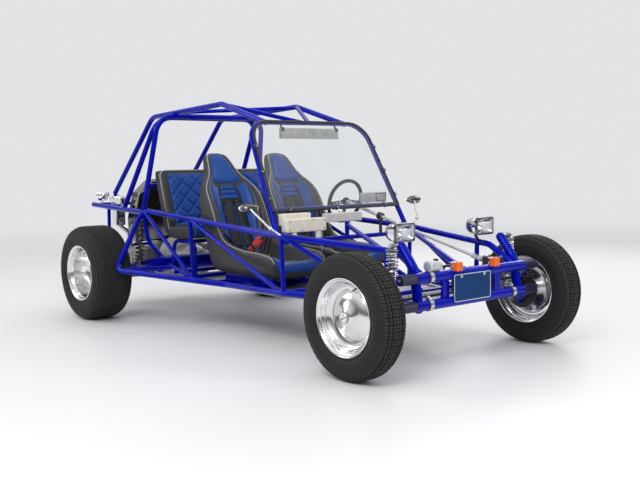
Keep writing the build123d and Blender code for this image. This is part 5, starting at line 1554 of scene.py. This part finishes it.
# %% [markdown]
# The floor is aluminium tread plate. Rolling raises short bars on it at two crossed angles, so shoes
# grip in every direction. The bars are real geometry here, copied in a chequer over the open floor.

# %% Tread plate floor
FLOOR_TOP = 0.3207
PITCH = 0.0235
FLOOR_FROM, FLOOR_TO, EDGE_CLEAR = -0.720, 1.380, 0.040


def floor_half(x):
    """Half the floor's width at x."""
    stations = [(-0.760, 0.437), (-0.353, 0.507), (0.690, 0.528), (1.407, 0.362)]
    for (x0, y0), (x1, y1) in zip(stations, stations[1:]):
        if x <= x1:
            return y0 + (y1 - y0) * (x - x0) / (x1 - x0)
    return stations[-1][1]


LOZENGE = ([Vector(v) for v in (
    (-0.0125, 0, -0.0004), (0, -0.0035, -0.0004), (0.0125, 0, -0.0004), (0, 0.0035, -0.0004),
    (-0.0070, 0, 0.0014), (0, -0.0018, 0.0014), (0.0070, 0, 0.0014), (0, 0.0018, 0.0014))],
           [[3, 2, 1, 0], [4, 5, 6, 7], [0, 1, 5, 4], [1, 2, 6, 5], [2, 3, 7, 6], [3, 0, 4, 7]])
bars = []
for i in range(int((FLOOR_TO - FLOOR_FROM) / PITCH)):
    x = FLOOR_FROM + PITCH * i
    reach = int((floor_half(x) - EDGE_CLEAR) / PITCH)
    for j in range(-reach, reach + 1):
        bars.append(((x, j * PITCH, FLOOR_TOP), (0, 0, math.radians(45 if (i + j) % 2 else -45))))
repeated("floor_bars", LOZENGE, bars, "floor_plate")
print("raised bars", len(bars))

# %% [markdown]
# The engine is air cooled, so it shows every working part: a belt from the crank to the fan, a
# distributor with leads to four plugs, a coil on the fan housing, wire bails on ribbed valve covers,
# round-topped air cleaners with a pleated element, and clamps on the exhaust. From behind, this is the
# face of the vehicle.

# %% Engine fittings
CRANK, FAN = Vector((-1.7610, 0, 0.400)), Vector((-1.7610, 0, 0.720))


def belt_loop():
    """The belt's line round both pulleys, in the plane across the crank."""
    r0, r1 = 0.0862, 0.0692
    lean = math.asin((r0 - r1) / (FAN - CRANK).length)
    points = []
    for centre, r, start, end in ((CRANK, r0, math.pi - lean, 2 * math.pi + lean), (FAN, r1, lean, math.pi - lean)):
        for k in range(25):
            a = start + (end - start) * k / 24
            points.append(centre + Vector((0, math.cos(a), math.sin(a))) * r)
    return points


piece("fan_belt", strip(belt_loop(), FORWARD, [(0.0034, -0.0055), (0.0034, 0.0055), (-0.0030, 0.0042),
                                              (-0.0030, -0.0042)]), "rubber_trim")
pulley_nuts = [lathe([(0, 0), (r, 0), (r, high - 0.002), (inner, high), (0, high)], (x, 0, z), BACKWARD, 6)
               for r, inner, high, x, z in (
                   (0.021, 0.018, 0.014, -1.767, 0.400), (0.013, 0.011, 0.012, -1.7715, 0.720))]
piece("pulley_nuts", joined(*pulley_nuts), "bright_steel")
piece("crank_pulley_rim", lathe([(0.0905, -0.0085), (0.0915, -0.0070), (0.0865, -0.0045), (0.0865, 0.0045),
                                 (0.0915, 0.0070), (0.0905, 0.0085), (0.0835, 0.0085), (0.0835, -0.0085)],
                                (-1.7595, 0, 0.400), FORWARD, 72, closed=True), "bright_steel")
# Thin black discs on the crank pulley: painted shade where its six holes would be; no holes are cut.
repeated("pulley_holes", lathe([(0, 0), (0.0110, 0), (0.0105, 0.0008), (0, 0.0008)], (0, 0, 0), UP),
         [((-1.7682, 0.055 * math.cos(a), 0.400 + 0.055 * math.sin(a)), aimed(BACKWARD))
          for a in [math.pi * k / 3 for k in range(6)]], "dash_black")
cap_at = Vector((-1.655, 0.070, 0.512))
piece("distributor", lathe([(0, 0), (0.016, 0), (0.016, 0.034), (0.030, 0.040), (0.034, 0.050), (0.034, 0.072),
                            (0, 0.072)], cap_at, UP, 40), "cast_alloy")
piece("distributor_cap", lathe([(0, 0.070), (0.0350, 0.070), (0.0350, 0.084), (0.0290, 0.092), (0.0270, 0.104),
                                (0.0120, 0.108), (0.0120, 0.114), (0, 0.114)], cap_at, UP, 40), "bakelite")
leads, boots = [], []
for k, (x, s) in enumerate(((-1.540, 1), (-1.665, 1), (-1.540, -1), (-1.665, -1))):
    a = math.radians(45 + 90 * k)
    tower = cap_at + Vector((0.020 * math.cos(a), 0.020 * math.sin(a), 0.098))
    boots.append(lathe([(0, 0), (0.0062, 0), (0.0050, 0.020), (0.0036, 0.024), (0, 0.024)], tower, UP, 16))
    plug = Vector((x, 0.285 * s, 0.478))
    rise = Vector((0, 0, 0.045 + 0.010 * k))
    leads.append(tube(curve_through([tower + Vector((0, 0, 0.018)), tower + rise + Vector((0, 0.020 * s, 0)),
                                     Vector((x + 0.02, 0.180 * s, 0.585 + 0.008 * k)), Vector((x, 0.262 * s, 0.560)),
                                     plug + Vector((0, 0, 0.022))], 8), 0.0036, 10))
    boots.append(lathe([(0, -0.012), (0.0095, -0.012), (0.0085, 0.006), (0.0055, 0.018), (0.0040, 0.026), (0, 0.026)],
                       plug, UP, 16))
coil_at = Vector((-1.628, -0.185, 0.585))
piece("ignition_coil", lathe([(0, 0), (0.0245, 0), (0.0260, 0.004), (0.0260, 0.104), (0.0240, 0.108), (0.0140, 0.110),
                              (0.0120, 0.126), (0.0070, 0.130), (0, 0.130)], coil_at, UP, 40), "chrome")
piece("coil_clamp", joined(band(0.0262, 0.0278, 0.050, 0.072, coil_at, UP, 40),
                           block((-1.612, -0.205, 0.635), (-1.6035, -0.165, 0.657), 0.001)), "bright_steel")
leads.append(tube(curve_through([coil_at + Vector((0, 0, 0.126)), coil_at + Vector((0, 0.03, 0.160)),
                                 Vector((-1.648, 0.00, 0.690)), cap_at + Vector((0, -0.010, 0.150)),
                                 cap_at + Vector((0, 0, 0.112))], 8), 0.0036, 10))
piece("ignition_leads", joined(*leads), "lead_red", sharp=0)
piece("plug_boots", joined(*boots), "rubber_trim")
bails, cover_ribs = [], []
for s in (1, -1):
    y = 0.3505 * s
    wire_y = y + 0.0045 * s
    bails.append(tube(bent_line([(-1.530, 0.318 * s, 0.473), (-1.530, wire_y, 0.440), (-1.530, wire_y, 0.335),
                                 (-1.640, wire_y, 0.335), (-1.640, wire_y, 0.440), (-1.640, 0.318 * s, 0.473)],
                                0.012, 6), 0.0032, 10))
    for k in range(5):
        x = -1.680 + 0.047 * k
        low, high = sorted((y - 0.002 * s, y + 0.0035 * s))
        cover_ribs.append(block((x, low, 0.352), (x + 0.006, high, 0.396), 0.001, 1))
piece("valve_bails", joined(*bails), "bright_steel")
piece("cover_ribs", joined(*cover_ribs), "cast_alloy")
tops, elements, wings = [], [], []
CLEANER = (0.0855, 0.0505)
PLEATS = 288
for s in (1, -1):
    at = Vector((-1.665, 0.392 * s, 0))
    for low, high in ((0.8205, 0.8290), (0.8750, 0.8815)):
        tops.append(oval([(0, low), (0.985, low), (1.0, low + 0.002), (1.0, high - 0.002), (0.985, high), (0, high)],
                         at, UP, FORWARD, *CLEANER, 72))
    tops.append(oval([(0, 0.8805), (0.80, 0.8805), (0.74, 0.8835), (0, 0.8850)], at, UP, FORWARD, *CLEANER, 72))
    pleats = []
    for k in range(PLEATS):
        a = 2 * math.pi * k / PLEATS
        share = 0.955 if k % 2 else 0.915
        pleats.append(Vector((at.x + CLEANER[0] * share * math.cos(a), at.y + CLEANER[1] * share * math.sin(a), 0)))
    elements.append(lofted([[p + Vector((0, 0, z)) for p in pleats] for z in (0.8285, 0.8755)]))
    wings.append(lathe([(0, 0.8845), (0.0080, 0.8845), (0.0060, 0.8930), (0, 0.8940)], at, UP, 20))
    for w in (1, -1):
        wings.append(block((at.x + min(0.004 * w, 0.016 * w), at.y - 0.0016, 0.8880),
                           (at.x + max(0.004 * w, 0.016 * w), at.y + 0.0016, 0.8990), 0.001))
piece("cleaner_tops", joined(*tops), "chrome")
piece("cleaner_elements", joined(*elements), "filter_cloth")
piece("cleaner_wing_nuts", joined(*wings), "bright_steel")
clamps = []
for s in (1, -1):
    for y in (0.290, 0.180):
        clamps.append(band(0.0498, 0.0518, -0.008, 0.008, (-1.772, y * s, 0.255), LEFT, 60))
tip = lathe([(0.0175, 0), (0.0200, 0), (0.0200, 0.050), (0.0190, 0.055), (0.0170, 0.055), (0.0165, 0.010)],
            (-1.818, -0.210, 0.250), (-1, 0, -0.12), 36, closed=True)
piece("muffler_bands", joined(*clamps), "bright_steel")
piece("exhaust_tip", tip, "chrome")
print("leads", len(leads), "bails", len(bails))

# %% [markdown]
# The rest are the fixings of the running gear: ribbed boots on the half shafts, nuts on the kingpins,
# bolts on the steering box, lamps with red lenses on the tail, and caps on the open ends of the rails.

# %% Running gear and tail
shaft_boots = []
for s in (1, -1):
    for start, way in ((0.1385, 1), (0.4685, -1)):
        ribs = [(0.0150, 0.0), (0.0505, 0.0), (0.0505, 0.006)]
        for k in range(5):
            r = 0.0480 - 0.0058 * k
            ribs += [(r - 0.0030, 0.0095 + 0.0145 * k), (r, 0.0165 + 0.0145 * k)]
        ribs += [(0.0165, 0.0850), (0.0150, 0.0850)]
        shaft_boots.append(lathe(ribs, (-1.244, start * s, 0.348), (0, way * s, 0), 48, closed=True))
piece("shaft_boots", joined(*shaft_boots), "rubber_trim")
pin_nuts = [((1.525, 0.625 * s, z), (0, 0, 0)) for s in (1, -1) for z in (0.430, 0.287)]
repeated("kingpin_nuts", lathe([(0, 0), (0.0118, 0), (0.0118, 0.0035), (0.0100, 0.0035), (0.0100, 0.0110),
                                (0.0088, 0.0125), (0.0050, 0.0125), (0.0050, 0.0165), (0, 0.0165)],
                               (0, 0, 0), UP, 6), pin_nuts, "bright_steel")
box_bolts = [((x, y, 0.5620), (0, 0, 0)) for x in (1.568, 1.650) for y in (0.248, 0.292)]
repeated("steering_box_bolts", HEX_BOLT, box_bolts, "bright_steel")
lamp_shells, lamp_lenses, tail_caps, cap_bolts = [], [], [], []
for s in (1, -1):
    at = (-1.790, 0.455 * s, 0.893)
    lamp_shells.append(lathe([(0, 0.0460), (0.0180, 0.0425), (0.0325, 0.0325), (0.0425, 0.0180), (0.0460, 0.0),
                              (0.0460, -0.0300), (0.0475, -0.0320), (0.0475, -0.0360), (0.0440, -0.0380),
                              (0.0420, -0.0370), (0.0420, -0.0200), (0, -0.0200)], at, FORWARD, 64))
    lamp_lenses.append(lathe([(0, -0.0230), (0.0415, -0.0230), (0.0415, -0.0375), (0.0360, -0.0405), (0.0200, -0.0425),
                              (0, -0.0430)], at, FORWARD, 64))
    lamp_shells.append(tube([(-1.790, y * s, z) for y, z in ((0.455, 0.853), (0.478, 0.838), (0.503, 0.8165))],
                            0.0078, 14))
piece("rear_lamp_shells", joined(*lamp_shells), "chrome", stands_for=("rear_lamps",))
piece("rear_lamp_lenses", joined(*lamp_lenses), "red_lens", stands_for=("rear_lamps",))
for s in (1, -1):
    tail_caps.append(lathe([(0, 0), (0.0193, 0), (0.0193, 0.0030), (0.0165, 0.0055), (0, 0.0070)],
                           (-1.8600, 0.510 * s, 0.818), BACKWARD, 36))
    cap_bolts.append(((-1.8668, 0.510 * s, 0.818), aimed(BACKWARD)))
piece("tail_caps", joined(*tail_caps), "bright_steel")
repeated("tail_cap_bolts", HEX_BOLT, cap_bolts, "bright_steel")
print("tail caps", len(tail_caps), "rear lamps", len(lamp_lenses))
